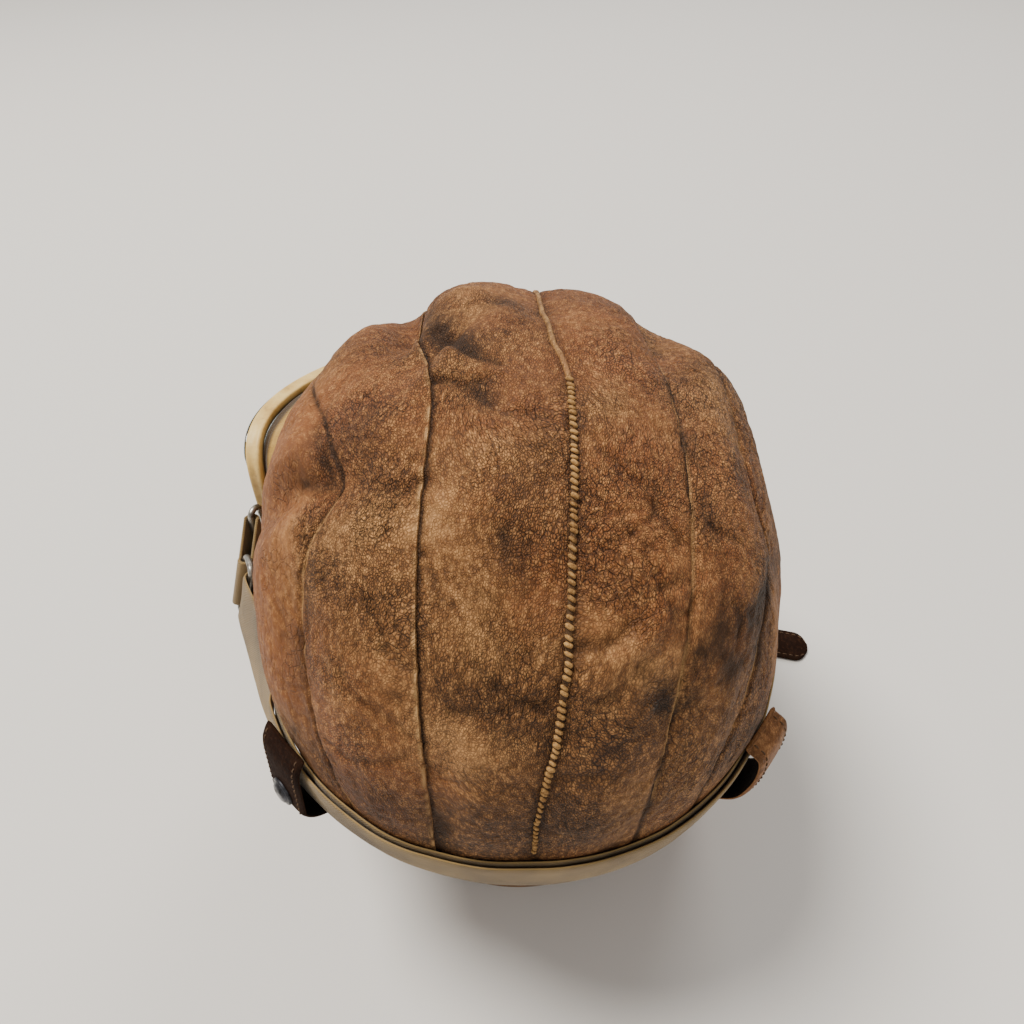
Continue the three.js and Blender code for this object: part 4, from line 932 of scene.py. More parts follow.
def webbing_material(name, dark, light):
    """Plain-woven webbing: threads cross over and under along the strap's own length."""
    n = Nodes(name)
    split = n.add("SeparateXYZ", {"Vector": n.add("TexCoord", {}, "UV")}, 0).socket.node
    wave = 2 * math.pi / THREAD_PITCH
    weft, warp = (n.maths("SINE", Value(n, split.outputs[k]) * wave) for k in (0, 1))
    woven = warp * weft
    place = n.place()
    height = woven * 0.6 + n.maths("ABSOLUTE", warp) * 0.7 + n.noise(place, 2400.0, 2.0) * 0.6
    colour = n.ramp(woven * 0.14 + n.noise(place, 45.0, 4.0, 0.6), (0.3, dark), (0.68, light))
    colour = n.mix(n.attribute("rim") * 0.45, colour, toned(light, 1.35))
    return n.shade(Base_Color=colour, Roughness=0.88, Normal=n.bump(height, 0.00022, 0.8),
                   Specular_IOR_Level=0.2, Sheen_Weight=0.25)


def cloth_material(name, dark, light):
    """Napped cloth over padding, with painted shade where it sinks into the rim's recess."""
    n = Nodes(name)
    place = n.place()
    nap = n.noise(place, 1500.0, 3.0, 0.6)
    share = n.noise(place, 55.0, 4.0, 0.6) * 0.7 + nap * 0.3
    colour = n.ramp(share, (0.34, dark), (0.64, light))
    colour = n.mix(n.attribute("recess_shade"), colour, RECESS_SHADE_COLOUR)
    return n.shade(Base_Color=colour, Roughness=0.95, Normal=n.bump(nap, 0.0005, 0.6),
                   Specular_IOR_Level=0.15, Sheen_Weight=0.4)


def rim_material():
    """Aged cream paint over pressed metal, rubbed and stained."""
    n = Nodes("rim_cream")
    place = n.place()
    broad = n.noise(place, 60.0, 5.0, 0.65)
    colour = n.ramp(broad, (0.32, (0.38, 0.225, 0.06)), (0.5, (0.66, 0.435, 0.13)), (0.66, (0.8, 0.58, 0.21)))
    specks = n.ramp(n.noise(place, 260.0, 4.0, 0.7), (0.62, 0), (0.7, 0.7))
    colour = n.mix(specks, colour, (0.2, 0.14, 0.08))
    # The rim's inward faces are painted shade, the dark of the recess beside the cushion
    colour = n.mix(n.attribute("recess_shade"), colour, RECESS_SHADE_COLOUR)
    normal = n.bump(n.noise(place, 700.0) + broad * 2.0, 0.00025, 0.6)
    return n.shade(Base_Color=colour, Roughness=0.5, Normal=normal)


def steel_material(name, base, dark):
    """Tarnished wire, brighter where it rubs."""
    n = Nodes(name)
    place = n.place()
    tarnish = n.noise(place, 300.0, 5.0, 0.65)
    colour = n.ramp(tarnish, (0.36, dark), (0.55, base))
    roughness = n.ramp(tarnish, (0.35, 0.6), (0.6, 0.28))
    normal = n.bump(n.noise(place, 2500.0, 2.0), 0.00008, 0.6)
    return n.shade(Base_Color=colour, Metallic=0.9, Roughness=roughness, Normal=normal)


def lens_material():
    """Grey-green clear sheet with faint scratches and a dark edge."""
    n = Nodes("lens_sheet")
    roughness = n.ramp(n.noise(n.place(), 900.0, 4.0, 0.7), (0.5, 0.06), (0.7, 0.2))
    edge = n.attribute("rim")
    colour = n.mix(edge, (0.42, 0.48, 0.46), (0.02, 0.014, 0.01))
    clear = (1.0 - edge) * 0.85
    return n.shade(Base_Color=colour, Roughness=roughness, IOR=1.49, Transmission_Weight=clear,
                   Alpha=1.0 - clear * 0.3)


def thread_material(name, dark, light):
    n = Nodes(name)
    place = n.place()
    twist = n.noise(place, 1800.0, 2.0)
    share = twist * 0.5 + n.noise(place, 50.0, 4.0) * 0.5
    colour = n.ramp(share, (0.36, dark), (0.62, light))
    normal = n.bump(twist, 0.0002, 0.7)
    return n.shade(Base_Color=colour, Roughness=0.85, Normal=normal, Specular_IOR_Level=0.2)


CROWN_LEATHER = leather_material(
    "crown_leather", (0.07, 0.029, 0.010), (0.2, 0.086, 0.028), (0.4, 0.2, 0.075), 1.0, 0.0, 0.64,
    shine=0.22)
FLAP_LEATHER = leather_material(
    "flap_leather", (0.12, 0.055, 0.024), (0.22, 0.105, 0.042), (0.36, 0.19, 0.08), seed=0.31, rough=0.6)
# Very dark leather for the chin strap and the left loop; on the left loop the darkness is painted shade, as
# that loop lies in shadow
DARK_LEATHER = leather_material(
    "dark_leather", (0.007, 0.003, 0.0015), (0.014, 0.0055, 0.0028), (0.034, 0.014, 0.0066),
    seed=0.57, rough=0.85, inner=(0.006, 0.004, 0.003), shine=0.08)
# Its near-black inner colour, like the dark leather's above, is painted shade inside the loop's hollow
LOOP_LEATHER_FINISH = leather_material(
    "loop_leather", (0.08, 0.034, 0.011), (0.21, 0.09, 0.031), (0.36, 0.175, 0.068),
    seed=0.83, inner=(0.008, 0.005, 0.004), shine=0.2)
WELT_LEATHER = leather_material(
    "welt_leather", (0.11, 0.052, 0.018), (0.26, 0.135, 0.048), (0.43, 0.245, 0.09), seed=0.12, rough=0.65)
WEBBING_OLIVE = webbing_material("olive_webbing", (0.1, 0.061, 0.021), (0.3, 0.198, 0.077))
CUSHION_CLOTH = cloth_material("ochre_cloth", (0.3, 0.16, 0.035), (0.55, 0.35, 0.1))
RIM_FINISH = rim_material()
STEEL = steel_material("tarnished_steel", (0.42, 0.4, 0.36), (0.1, 0.085, 0.07))
DARK_STEEL = steel_material("dark_steel", (0.08, 0.082, 0.095), (0.02, 0.019, 0.02))
LENS_FINISH = lens_material()
TAN_THREAD = thread_material("tan_thread", (0.17, 0.082, 0.027), (0.46, 0.265, 0.098))
BROWN_THREAD = thread_material("brown_thread", (0.05, 0.03, 0.018), (0.14, 0.085, 0.05))


def finish_piece(made, material, slot, *nodes):
    made.data.materials.append(material)
    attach(made, "root")
    if nodes:
        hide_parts(*nodes)
    return made


# The crown

def spots(direction, places):
    arc, lean = arc_of(direction), lean_of(direction)
    return sum(spot(arc, lean, place) for place in places)


def drawn_lines(direction, points):
    """Height in millimetres of the creases and ridges, and their darkness: painted shade along the creases,
    and painted highlight on the ridges where it is below 0.
    """
    arc = arc_of(direction) + noise_of(points, 8, 21) * CREASE_WANDER
    lean = lean_of(direction) + noise_of(points, 8, 22) * CREASE_WANDER
    cosine = np.cos(lean * DEGREE)
    broken = 0.75 + 0.5 * noise_of(points, 11, 23)
    height, dark = np.zeros_like(arc), np.zeros_like(arc)
    for width, rise, shade, *line in CREASES:
        nearest = np.full_like(arc, 99.0)
        for (first_arc, first_lean), (last_arc, last_lean) in zip(line[:-1], line[1:]):
            long, wide = (last_arc - first_arc) * cosine, last_lean - first_lean
            a, b = (arc - first_arc) * cosine, lean - first_lean
            share = np.clip((a * long + b * wide) / (long**2 + wide**2), 0, 1)
            nearest = np.minimum(nearest, np.hypot(a - share * long, b - share * wide))
        broad = width > BROAD_LINE
        near = bell(nearest, width) * (1 if broad else broken)
        height += rise * near * (1 if broad else CREASE_DEEPER)
        dark += shade * near * (1 if broad else CREASE_DARKER)
    return height, dark


def fine_relief(direction):
    """Lumps, creases and wrinkles over the part's own relief, in millimetres, and their darkness: painted
    shade in the creases and wrinkles, painted highlight on the lit ridges.
    """
    points = direction * plain_reach(direction)[..., None]
    fade = edge_share(direction)
    lumps = noise_of(points, 17, 1, 2) * LUMP_HEIGHT
    bent = points + np.stack([noise_of(points, 34, seed) for seed in (5, 6, 7)], axis=-1) * WRINKLE_BEND
    drawn = bent * np.array([1, 0.6, 0.6])
    wrinkles = -bell(noise_of(drawn, 5.5, 2, 2), 0.14) * WRINKLE_HEIGHT
    ridges = noise_of(drawn, 3.2, 3) * RIDGE_HEIGHT
    height, dark = drawn_lines(direction, points)
    return (lumps + wrinkles + ridges) * fade + height * (0.3 + 0.7 * fade), dark - wrinkles * 0.5


def arc_down_to(lean_at, far, level_at):
    """Arcs between the top and a far arc at which lines over the crown come down to a level."""
    above, below = TOP_ARC + 0 * lean_at(0.0), far + 0 * lean_at(0.0)
    for _ in range(30):
        middle = (above + below) / 2
        direction = direction_at(middle, lean_at(middle))
        level = WIDEST_LEVEL + direction[..., 2] * plain_reach(direction)
        higher = level > level_at(turn_of(direction))
        above, below = np.where(higher, middle, above), np.where(higher, below, middle)
    return (above + below) / 2


def panel_directions(first, second, shares, across):
    """Directions of a panel between two seams: rows of shares, columns of places across."""
    def lean_at(arc):
        start = along(first, "arc", "lean", arc)
        return start + (along(second, "arc", "lean", arc) - start) * across

    start = arc_down_to(lean_at, NAPE_ARC, edge_level)
    end = arc_down_to(lean_at, FACE_ARC, edge_level)
    arc = start + (end - start) * shares[:, None]
    return direction_at(arc, lean_at(arc))


def edge_curve(seam, side, shares):
    """Directions along the crown's lower edge, from one end of an outer seam to the other."""
    rear_turn = abs(turn_of(seam[0])) + CORNER_TURN
    front_turn = abs(turn_of(seam[-1])) - CORNER_TURN
    turn = rear_turn + (front_turn - rear_turn) * shares
    level = edge_level(turn)
    point = outward(turn * side) * shell_radius(turn, level)[:, None]
    point[:, 2] = level - WIDEST_LEVEL
    return unit(point)


def across_places(width):
    """Places across a panel, closer together near its two edges."""
    even = np.linspace(0, 1, int(width / PANEL_COLUMN))
    return 0.45 * even + 0.55 * (0.5 - 0.5 * np.cos(math.pi * even))


def panel(node, directions, across, first_edge, second_edge, seed):
    """A leather panel of the crown with shaped edges, its wear, and painted shade and highlights."""
    reach = plain_reach(directions) + relief(directions)
    turned = np.arccos(np.clip(dot(directions[:, 0], directions[:, -1]), -1, 1))
    width = turned * reach.mean(axis=1)[:, None]
    arc, lean = arc_of(directions), lean_of(directions)
    fade = edge_share(directions)
    height, grime_and_shade = fine_relief(directions)
    rub = np.zeros_like(reach)
    points = directions * reach[..., None]
    stretches = smooth(noise_of(points, 22, seed + 30) * 2.2 + 0.45)
    rubbed = stretches * (smooth((DARK_SEAM_ARC - arc) / 5) if "left" in node else 1)
    # Ripples that run off square to each seam
    ripples = noise_of(points * np.array([0.4, 1, 1]), 3.0, seed + 36)
    for distance, kind in ((across * width, first_edge), ((1 - across) * width, second_edge)):
        rise, spread = EDGE_SHAPES[kind]
        height += rise * bell(distance, spread) * (0.35 + 0.65 * fade)
        if kind != "hem":
            height += ripples * RIPPLE_HEIGHT * bell(distance, RIPPLE_REACH) * fade
        if kind == "over":
            height -= 0.3 * bell(distance, 0.55)
            light = smooth(ripples * 1.6 + 0.5) * (0.4 + 0.6 * stretches)
            rub += 0.9 * bell(distance, RUB_REACH) * light
        if kind == "under":
            # Painted shadow that the neighbour's overlapping edge casts on this panel
            grime_and_shade += 0.9 * bell(distance, LAP_SHADOW_REACH)
        if kind == "plain":
            rub += 0.65 * bell(distance, PLAIN_RUB_REACH) * rubbed
            grime_and_shade += 0.8 * bell(distance, 1.1) * (1 - rubbed)
        if kind == "welt":
            grime_and_shade += 0.6 * bell(distance, 2.4)
    outer = CENTRE + directions * (reach + height)[..., None]
    inner = CENTRE + directions * (reach + np.minimum(height, 0.2) * 0.8 - LEATHER)[..., None]
    layers = {
        "stain": np.clip(spots(directions, STAINS_AND_SHADE) + grime_and_shade, 0, 1.2),
        "rub": np.clip(rub, 0, 1),
        "polish": spots(directions, POLISHED),
        "wear_light_and_shade": spots(directions, WEAR_LIGHT_AND_SHADE),
        "calm": 0.75 * smooth((-35 - lean) / 5) + 0.8 * smooth((lean - 47) / 5) * smooth((45 - arc) / 10),
    }
    made = make_sheet(node + "_leather", outer, inner, layers, 0.05, 2)
    finish_piece(made, CROWN_LEATHER, "leather_brown", node)


def build_crown():
    """Six panels between the five seams and the crown's lower edge."""
    places = np.linspace(0, 1, PANEL_ROWS)
    shares = places * (0.75 + 0.25 * places)

    def between(first, second):
        return lambda held: panel_directions(SEAMS[first], SEAMS[second], shares, held)

    def beside(name, side):
        seam = panel_directions(SEAMS[name], SEAMS[name], shares, np.array([0.0]))
        edge = edge_curve(seam[:, 0], side, shares)[:, None]
        return lambda held: unit(edge * (1 - held)[:, None] + seam * held[:, None])

    panels = (
        ("gore_left_outer", 100, "hem", "plain", beside("left_outer", -1)),
        ("gore_left_middle", 44, "plain", "over", between("left_outer", "left")),
        ("gore_left_inner", 44, "under", "welt", between("left", "middle")),
        ("gore_right_inner", 40, "welt", "plain", between("middle", "right")),
        ("gore_right_middle", 36, "plain", "plain", between("right", "right_outer")),
        ("gore_right_outer", 100, "hem", "plain", beside("right_outer", 1)),
    )
    for seed, (node, width, first_edge, second_edge, directions_at) in enumerate(panels, 1):
        across = across_places(width)
        trim = PANEL_GAP / width
        directions = directions_at(trim + (1 - 2 * trim) * across)
        panel(node, directions, across, first_edge, second_edge, seed)


def build_welt():
    """The raised strip on the middle seam, and the oblique stitches that wrap it."""
    def lean_at(arc):
        return along(SEAMS["middle"], "arc", "lean", arc)

    start = float(arc_down_to(lean_at, NAPE_ARC, lambda turn: STRAP_LEVEL + WELT_WIDTH / 2))
    end = float(arc_down_to(lean_at, FACE_ARC, lambda turn: BROW_LEVEL + WELT_WIDTH / 2))
    arc = np.linspace(start, end, WELT_ROWS)
    directions = direction_at(arc, lean_at(arc))
    reach = plain_reach(directions) + relief(directions) + fine_relief(directions)[0]
    middles = directions * (reach - WELT_SEAT)[:, None] + CENTRE
    length = lengths_along(middles)
    side = unit(np.cross(np.gradient(middles, axis=0), directions))
    middles = middles + side * (noise_of(middles, 12, 40) * 0.3)[:, None]
    rope = smooth((WELT_ROPE_ARC - arc) / 3)
    swell = (1 + noise_of(middles, 4, 41) * 0.15) * (1 - 0.3 * smooth((16 - arc) / 10))
    angle = np.linspace(0, math.pi, 9)
    wide = swell[:, None] * -np.cos(angle) * WELT_STRIP / 2
    high = ((1.35 - 0.75 * rope) * swell)[:, None] * WELT_HEIGHT * np.sin(angle) ** 0.8
    layers = {"stain": np.repeat(0.85 * rope, len(angle))}
    strip = make_mesh("crown_welt_leather", *tube(swept(middles, side, directions, wide, high)), layers)
    finish_piece(oriented(strip), WELT_LEATHER, "leather_tan", "crown_welt")

    # Fat, uneven stitches that lie over the strip like the strands of a rope
    parts = []
    rng = random.Random(7)
    at = WELT_STITCH_PITCH
    while at < length[-1] - WELT_STITCH_PITCH:
        k = int(np.searchsorted(length, at))
        at += WELT_STITCH_PITCH * rng.uniform(0.82, 1.2)
        if rope[k] < 0.5:
            continue
        run = unit(middles[k + 1] - middles[k - 1])
        across = side[k] if side[k][0] > 0 else -side[k]
        slant = (run if run[2] > 0 or run[1] > 0 else -run) * rng.uniform(0.35, 0.75)
        low = middles[k] + directions[k] * 0.3
        across = across * WELT_STITCH_REACH * swell[k]
        begin = low - across * rng.uniform(0.85, 1.2) + slant
        finish = low + across * rng.uniform(0.85, 1.15) - slant
        lift = directions[k] * (WELT_HEIGHT * rng.uniform(0.55, 0.85))
        thick = WELT_STITCH_RADIUS * rng.uniform(0.85, 1.15) * swell[k]
        parts.append(stitch_part(begin, finish, lift, thick, 8))
    sew("crown_welt_stitches", parts, TAN_THREAD, "leather_tan")


# The flaps, the brow band and the neck curtain

def grid(rows, columns):
    """Shares down the rows and over the columns of a sheet."""
    return np.linspace(0, 1, rows)[:, None], np.linspace(0, 1, columns)[None, :]


def degrees_of(length):
    """The turn that a length takes up on the crown's side."""
    return length / HALF_WIDTH / DEGREE


def flap_front_turn(drop):
    return along(FLAP_FRONT, "drop", "turn", drop)


def flap_lift(turn, level):
    ear = np.hypot((turn - EAR_TURN) * DEGREE * HALF_WIDTH, level - EAR_LEVEL)
    puff = PANEL_PUFF * smooth(np.maximum(level - edge_level(turn), 0) / EDGE_FADE)
    return SEAM_GAP + LEATHER + EAR_BULGE * bell(ear, EAR_SPREAD) + puff


def hem_of(level):
    return (HEM - LEATHER) * smooth(1 - level / HEM / 2)


def build_flap(side, material, slot, thread):
    """An ear flap, with a stitched groove inside its edge and another round the ear's swelling."""
    share, across = grid(120, 90)
    rear = FLAP_REAR_TURN + SEAM_GAP / 2
    turn = rear + (flap_front_turn(share) - rear) * across
    top = edge_level(turn) + FLAP_LAP * smooth((flap_front_turn(0.0) - turn) / FLAP_LAP_FADE)
    level = top * (1 - share) + HEM_ROUNDING * share
    lift = flap_lift(turn, level)
    plain = wall_point(turn * side, level, lift)
    edge = np.minimum(
        np.minimum(share, 1 - share) * FLAP_HEIGHT, np.minimum(across, 1 - across) * FLAP_BREADTH)
    ear = np.hypot((turn - EAR_TURN) * DEGREE * HALF_WIDTH, (level - EAR_LEVEL) * EAR_SQUASH)
    inward = smooth(edge / 9)
    detail = noise_of(plain, 24, 51 + side, 2) * 0.7 * inward
    detail -= bell(noise_of(plain, 8, 55 + side, 2), 0.12) * 0.22 * inward
    detail -= 0.45 * bell(edge - FLAP_SEAM, 0.8) + 0.7 * bell(edge, 0.8) + 0.6 * bell(ear - EAR_SEAM, 0.9)
    outer = wall_point(turn * side, level, lift + hem_of(level) + detail)
    inner = wall_point(turn * side, level, lift - LEATHER + np.minimum(detail, 0) * 0.3)
    layers = {
        "stain": 0.35 * bell(edge, 2.0) + 0.35 * bell(ear - EAR_SEAM, 1.6),
        "rub": 0.5 * bell(edge - 1.0, 0.8) * smooth(noise_of(plain, 18, 60) * 2 + 0.4),
    }
    node = "ear_flap_left" if side < 0 else "ear_flap_right"
    made = make_sheet(node + "_leather", outer, inner, layers, 0.35, 4)
    finish_piece(made, material, slot, node)

    inset = degrees_of(FLAP_SEAM)
    drops = np.linspace(0.02, 0.955, 120)
    front = flap_front_turn(drops) - inset
    low = np.linspace(rear + inset, flap_front_turn(0.96) - inset, 90)
    angle = np.linspace(0, 2 * math.pi, 200)
    round_ear = EAR_TURN + degrees_of(EAR_SEAM) * np.cos(angle)
    lines = (
        (front, edge_level(front) * (1 - drops), -0.25),
        (rear + inset + 0 * drops, edge_level(rear + inset) * (1 - drops), -0.25),
        (low, FLAP_SEAM + 1.0 + 0 * low, -0.25),
        (round_ear, EAR_LEVEL + EAR_SEAM / EAR_SQUASH * np.sin(angle), -0.35),
    )
    parts = []
    for turns, levels, raised in lines:
        path = wall_point(turns * side, levels, flap_lift(turns, levels) + hem_of(levels) + raised)
        parts += stitch_line(path, outward(turns * side), *WALL_STITCH)
    sew(node + "_stitches", parts, thread, slot)


BROW_REACH = 180 - flap_front_turn(0.0) - SEAM_GAP


def brow_place(share, drop, out):
    """Points of the brow band: share round the face, drop below the crown's edge."""
    turn = 180 + BROW_REACH * (2 * share - 1)
    turn = np.where(turn > 180, turn - 360, turn)
    slope = np.maximum(edge_level(turn) - WIDEST_LEVEL, 0) / widest_radius(turn)
    level = edge_level(turn) - SEAM_GAP - LEATHER * slope - drop
    return wall_point(turn, level, out)


def build_brow_band():
    """The band between the flaps, with a row of stitches along each edge."""
    share, across = grid(160, 26)
    drop = BROW_BAND_WIDTH * across
    edge = np.minimum(drop, BROW_BAND_WIDTH - drop) + 0 * share
    detail = noise_of(brow_place(share, drop, 0.0), 18, 70, 2) * 0.35 * smooth(edge / 5)
    detail -= 0.35 * bell(edge - BROW_SEAM, 0.7) + 0.5 * bell(edge, 0.7)
    outer, inner = brow_place(share, drop, detail), brow_place(share, drop, -LEATHER)
    made = make_sheet("brow_band_leather", outer, inner, {"stain": 0.3 * bell(edge, 1.6)}, 0.3)
    finish_piece(made, CROWN_LEATHER, "leather_brown", "brow_band")
    parts = []
    margin = 0.75 / BROW_REACH
    share = np.linspace(margin, 1 - margin, 300)
    for row in (BROW_SEAM, BROW_BAND_WIDTH - BROW_SEAM):
        path = brow_place(share, row, -0.2)
        parts += stitch_line(path, outward(turn_of(path)), *BROW_STITCH)
    sew("brow_band_stitches", parts, BROWN_THREAD, "leather_brown")


def build_neck_curtain():
    """The back wall, with soft folds towards its stitched hem."""
    reach = FLAP_REAR_TURN + degrees_of(FLAP_LAP)
    share, across = grid(110, 190)
    turn = -reach + 2 * reach * across + 0 * share
    level = (SEAM_LEVEL - SEAM_GAP) * (1 - share) + 0 * across
    plain = wall_point(turn, level, 0.0)
    lapped = smooth((reach - np.abs(turn) - 6) / 5)
    held = smooth((SEAM_LEVEL - level) / 14 - 0.6) * smooth(level / 10)
    detail = noise_of(plain, 26, 80, 2) * 1.1 * lapped * held
    folds = np.sin(turn * 0.42 + noise_of(plain, 40, 81) * 1.5) * 0.8
    detail += folds * lapped * smooth((60 - level) / 40) * smooth(level / 8)
    # The wall swells a little under the strap, beside the loops
    beside = smooth((np.abs(turn) - 20) / 12)
    detail += CURTAIN_SWELL * smooth((level - 84) / 8) * smooth((112 - level) / 3) * beside
    detail -= 0.4 * bell(level - CURTAIN_SEAM, 0.8) * lapped
    outer = wall_point(turn, level, detail)
    inner = wall_point(turn, level, detail - LEATHER - hem_of(level))
    layers = {
        "stain": 0.3 * bell(level, 4) + 0.35 * smooth((level - 85) / 15),
        "rub": 0.4 * bell(level - 1, 1.2) * smooth(noise_of(plain, 15, 82) * 2 + 0.4),
    }
    made = make_sheet("neck_curtain_leather", outer, inner, layers, 0.0, 2)
    finish_piece(made, CROWN_LEATHER, "leather_brown", "neck_curtain")
    turns = np.linspace(-reach + 6, reach - 6, 300)
    parts = stitch_line(wall_point(turns, CURTAIN_SEAM, -0.15), outward(turns), *WALL_STITCH)
    sew("neck_curtain_stitches", parts, BROWN_THREAD, "leather_brown")


# The goggle strap

def strap_place(turn, across, lift):
    turn, across, lift = np.broadcast_arrays(np.asarray(turn, float), across, lift)
    flare, top, swing = (along(STRAP_ROUTE, "turn", key, turn) for key in ("flare", "level", "swing"))
    level = STRAP_LEVEL * top - WEBBING_WIDTH * np.sqrt(1 - flare * flare) * across
    out = STRAP_SWING * swing + WEBBING_WIDTH * flare * across + STRAP_LIFT + lift
    return crown_point_at(turn, level, out)


def folded_end(end, before, towards):
    """Lines that turn a strap back inwards round a bar, and that bar's top and direction."""
    ahead = unit((end[0] - before[0]) * LEVEL)
    inward = np.array([-ahead[1], ahead[0], 0]) * towards
    bar = end[0] + inward * BAR_BEND
    start = math.atan2(end[0][1] - bar[1], end[0][0] - bar[0])
    angles = start + towards * np.linspace(0, math.pi, BEND_STEPS + 1)[1:]
    turned = np.stack([
        bar[0] + BAR_BEND * np.cos(angles), bar[1] + BAR_BEND * np.sin(angles), 0 * angles + end[0][2]
    ], axis=-1)
    tail = turned[-1] - ahead * np.linspace(0, TURNED_LENGTH, 16)[1:, None]
    shift = (np.concatenate([turned, tail]) - end[0]) * LEVEL
    return bar, ahead, end[None] + shift[:, None]


def webbing_band(node, lines):
    """Webbing through lines of points that run from its top to its lower edge."""
    run = unit(np.gradient(lines, axis=0))
    down = unit(lines[:, -1] - lines[:, 0])[:, None]
    normal = unit(np.cross(run, np.broadcast_to(down, run.shape)))
    columns = lines.shape[1]
    edge = np.linspace(-1, 1, columns)
    half = (WEBBING / 2 * np.sqrt(np.clip(1 - np.abs(edge) ** 24, 0.12, 1)))[None, :, None]
    ripple = (noise_of(lines, 9, 90) * 0.1)[..., None]
    width = np.linspace(0, WEBBING_WIDTH, columns)
    uv = np.stack(np.broadcast_arrays(lengths_along(lines[:, 0])[:, None], width), axis=-1) * MM
    outer, inner = lines + normal * (ripple + half), lines + normal * (ripple - half)
    made = make_sheet(node + "_webbing", outer, inner, None, 0.5, 4, uvs=uv)
    finish_piece(made, WEBBING_OLIVE, "webbing", node)


def strap_lines(from_turn, to_turn, lift, steps, seed):
    """Lines along the strap, which lies closer than the part's, most of all as a single layer."""
    turns = np.linspace(from_turn, to_turn, steps)
    single = smooth((-LOOP_LAYER_TURN - turns) / 5) * smooth((turns - SLIDE_TURN) / 18)
    closer = STRAP_CLOSER + SINGLE_LAYER_DROP * single[:, None]
    lines = strap_place(turns[:, None], np.linspace(0, 1, 19)[None, :], lift - closer)
    held = smooth((STRAP_RIGHT_TURN - turns) / 8) * smooth((turns - SLIDE_TURN) / 8)
    # The webbing sinks with the crown's own hollows
    hollow = fine_relief(unit(lines[:, :6] - CENTRE))[0].mean(axis=1)
    spread = 2 * SINK_SPREAD + 1
    hollow = np.convolve(np.pad(hollow, SINK_SPREAD, "edge"), np.ones(spread), "valid") / spread
    lines += outward(turns)[:, None] * (np.clip(hollow, -1.5, 0.5) * held)[:, None, None]
    lines[..., 2] += (noise_of(lines[:, 0], 16, seed) * 0.35 * held)[:, None]
    return lines


def build_goggle_strap():
    """Both layers of the strap. Returns the run's left end, and the fold at each end."""
    lines = strap_lines(STRAP_RIGHT_TURN, SLIDE_TURN, OUTER_LIFT, 480, 91)
    left = folded_end(lines[-1], lines[-2], -1)
    right = folded_end(lines[0], lines[1], 1)
    webbing_band("goggle_strap", np.concatenate([right[2][::-1], lines, left[2]]))
    webbing_band("goggle_strap_under", strap_lines(LOOP_LAYER_TURN, -LOOP_LAYER_TURN, INNER_LIFT, 300, 95))
    return lines[-1], left, right


# The leather loops

def loop_run(turn, steps, shape, bulge, below):
    """A loop's middles, from over the strap to below it."""
    share = np.linspace(0, 1, steps)
    top = float(strap_place(turn, 0.0, 0.0)[2]) + LOOP_RISE
    fall = LOOP_RISE + WEBBING_WIDTH + below
    seat = SEAM_GAP + LOOP_LEATHER / 2 + LOOP_SEAT_CURVE
    level = top - fall * along(shape, "share", "drop", share)
    out = seat + bulge * along(shape, "share", "bulge", share)
    return crown_point_at(np.full(steps, float(turn)), level, out)


def build_loop(node, turn, width, shape, bulge, below, material, slot):
    """A stitched leather loop. Returns its middles and outward directions."""
    middles = loop_run(turn, 90, shape, bulge, below)
    across, out = run_frames(middles, outward(turn + 90))
    facing = 1 if np.dot(out[0], outward(turn)) >= 0 else -1
    place = np.linspace(-width / 2, width / 2, 21)
    sag = place**2 / 2 / REAR_REACH * -facing
    base = swept(middles, across, out, place, sag)
    edge = np.abs(np.linspace(-1, 1, len(place)))
    half = LOOP_LEATHER / 2 * np.sqrt(np.clip(1 - edge**14, 0.15, 1))
    groove = 0.3 * bell(np.abs(place) - width / 2 + LOOP_SEAM, 0.5)
    normal = out * facing
    outer = base + normal[:, None] * (half - groove)[:, None]
    inner = base - normal[:, None] * half[:, None]
    layers = {"stain": 0.4 * bell(1 - edge, 0.12), "rub": 0.25 * smooth(noise_of(base, 12, 100) * 2)}
    made = make_sheet(node + "_leather", outer, inner, layers, 0.4)
    finish_piece(made, material, slot, node)
    parts = []
    for side in (-1, 1):
        column = int(np.argmin(np.abs(place - side * (width / 2 - LOOP_SEAM))))
        parts += stitch_line(outer[2:-2, column], normal[2:-2], *LOOP_STITCH)
    sew(node + "_stitches", parts, BROWN_THREAD, slot)
    return middles, normal


def build_snap(middles, out):
    """The snap's domed cap: a profile turned round its axis."""
    k = int(SNAP_SHARE * (len(middles) - 1))
    seat = middles[k] + out[k] * (LOOP_LEATHER / 2 + 0.1)
    side = unit(np.cross(out[k], UP))
    angle = np.arange(SNAP_SIDES) * 2 * math.pi / SNAP_SIDES
    spokes = side * np.cos(angle)[:, None] + np.cross(out[k], side) * np.sin(angle)[:, None]
    profile = np.array(SNAP_PROFILE) * (SNAP_RADIUS, SNAP_HEIGHT + 2 * SEAM_GAP)
    radius, height = profile.T[:, :, None, None]
    made = make_mesh("loop_snap_cap", *tube(seat + out[k] * height + spokes * radius), None, 35)
    finish_piece(oriented(made), DARK_STEEL, "steel", "loop_snap")


# The goggles

def goggle_face(swing, height, out):
    swing, height, out = np.broadcast_arrays(np.asarray(swing, float), height, out)
    facing = GOGGLE_MIDDLE + swing
    turn = np.where(facing < 0, -180 - facing, 180 - facing)
    level = GOGGLE_LEVEL - GOGGLE_TILT * swing * DEGREE * (FRONT_REACH + out) + height
    point = outward(turn) * (widest_radius(turn) + out)[..., None]
    point[..., 2] = level
    return point


def goggle_reach(grow):
    return GOGGLE_SPAN + degrees_of(grow)


def end_curl(swing, grow):
    return GOGGLE_END_CURL * np.minimum(np.abs(swing) / goggle_reach(grow), 1) ** 6


def nose_rise(swing):
    return NOSE_RISE * bell(swing, NOSE_ANGLE)


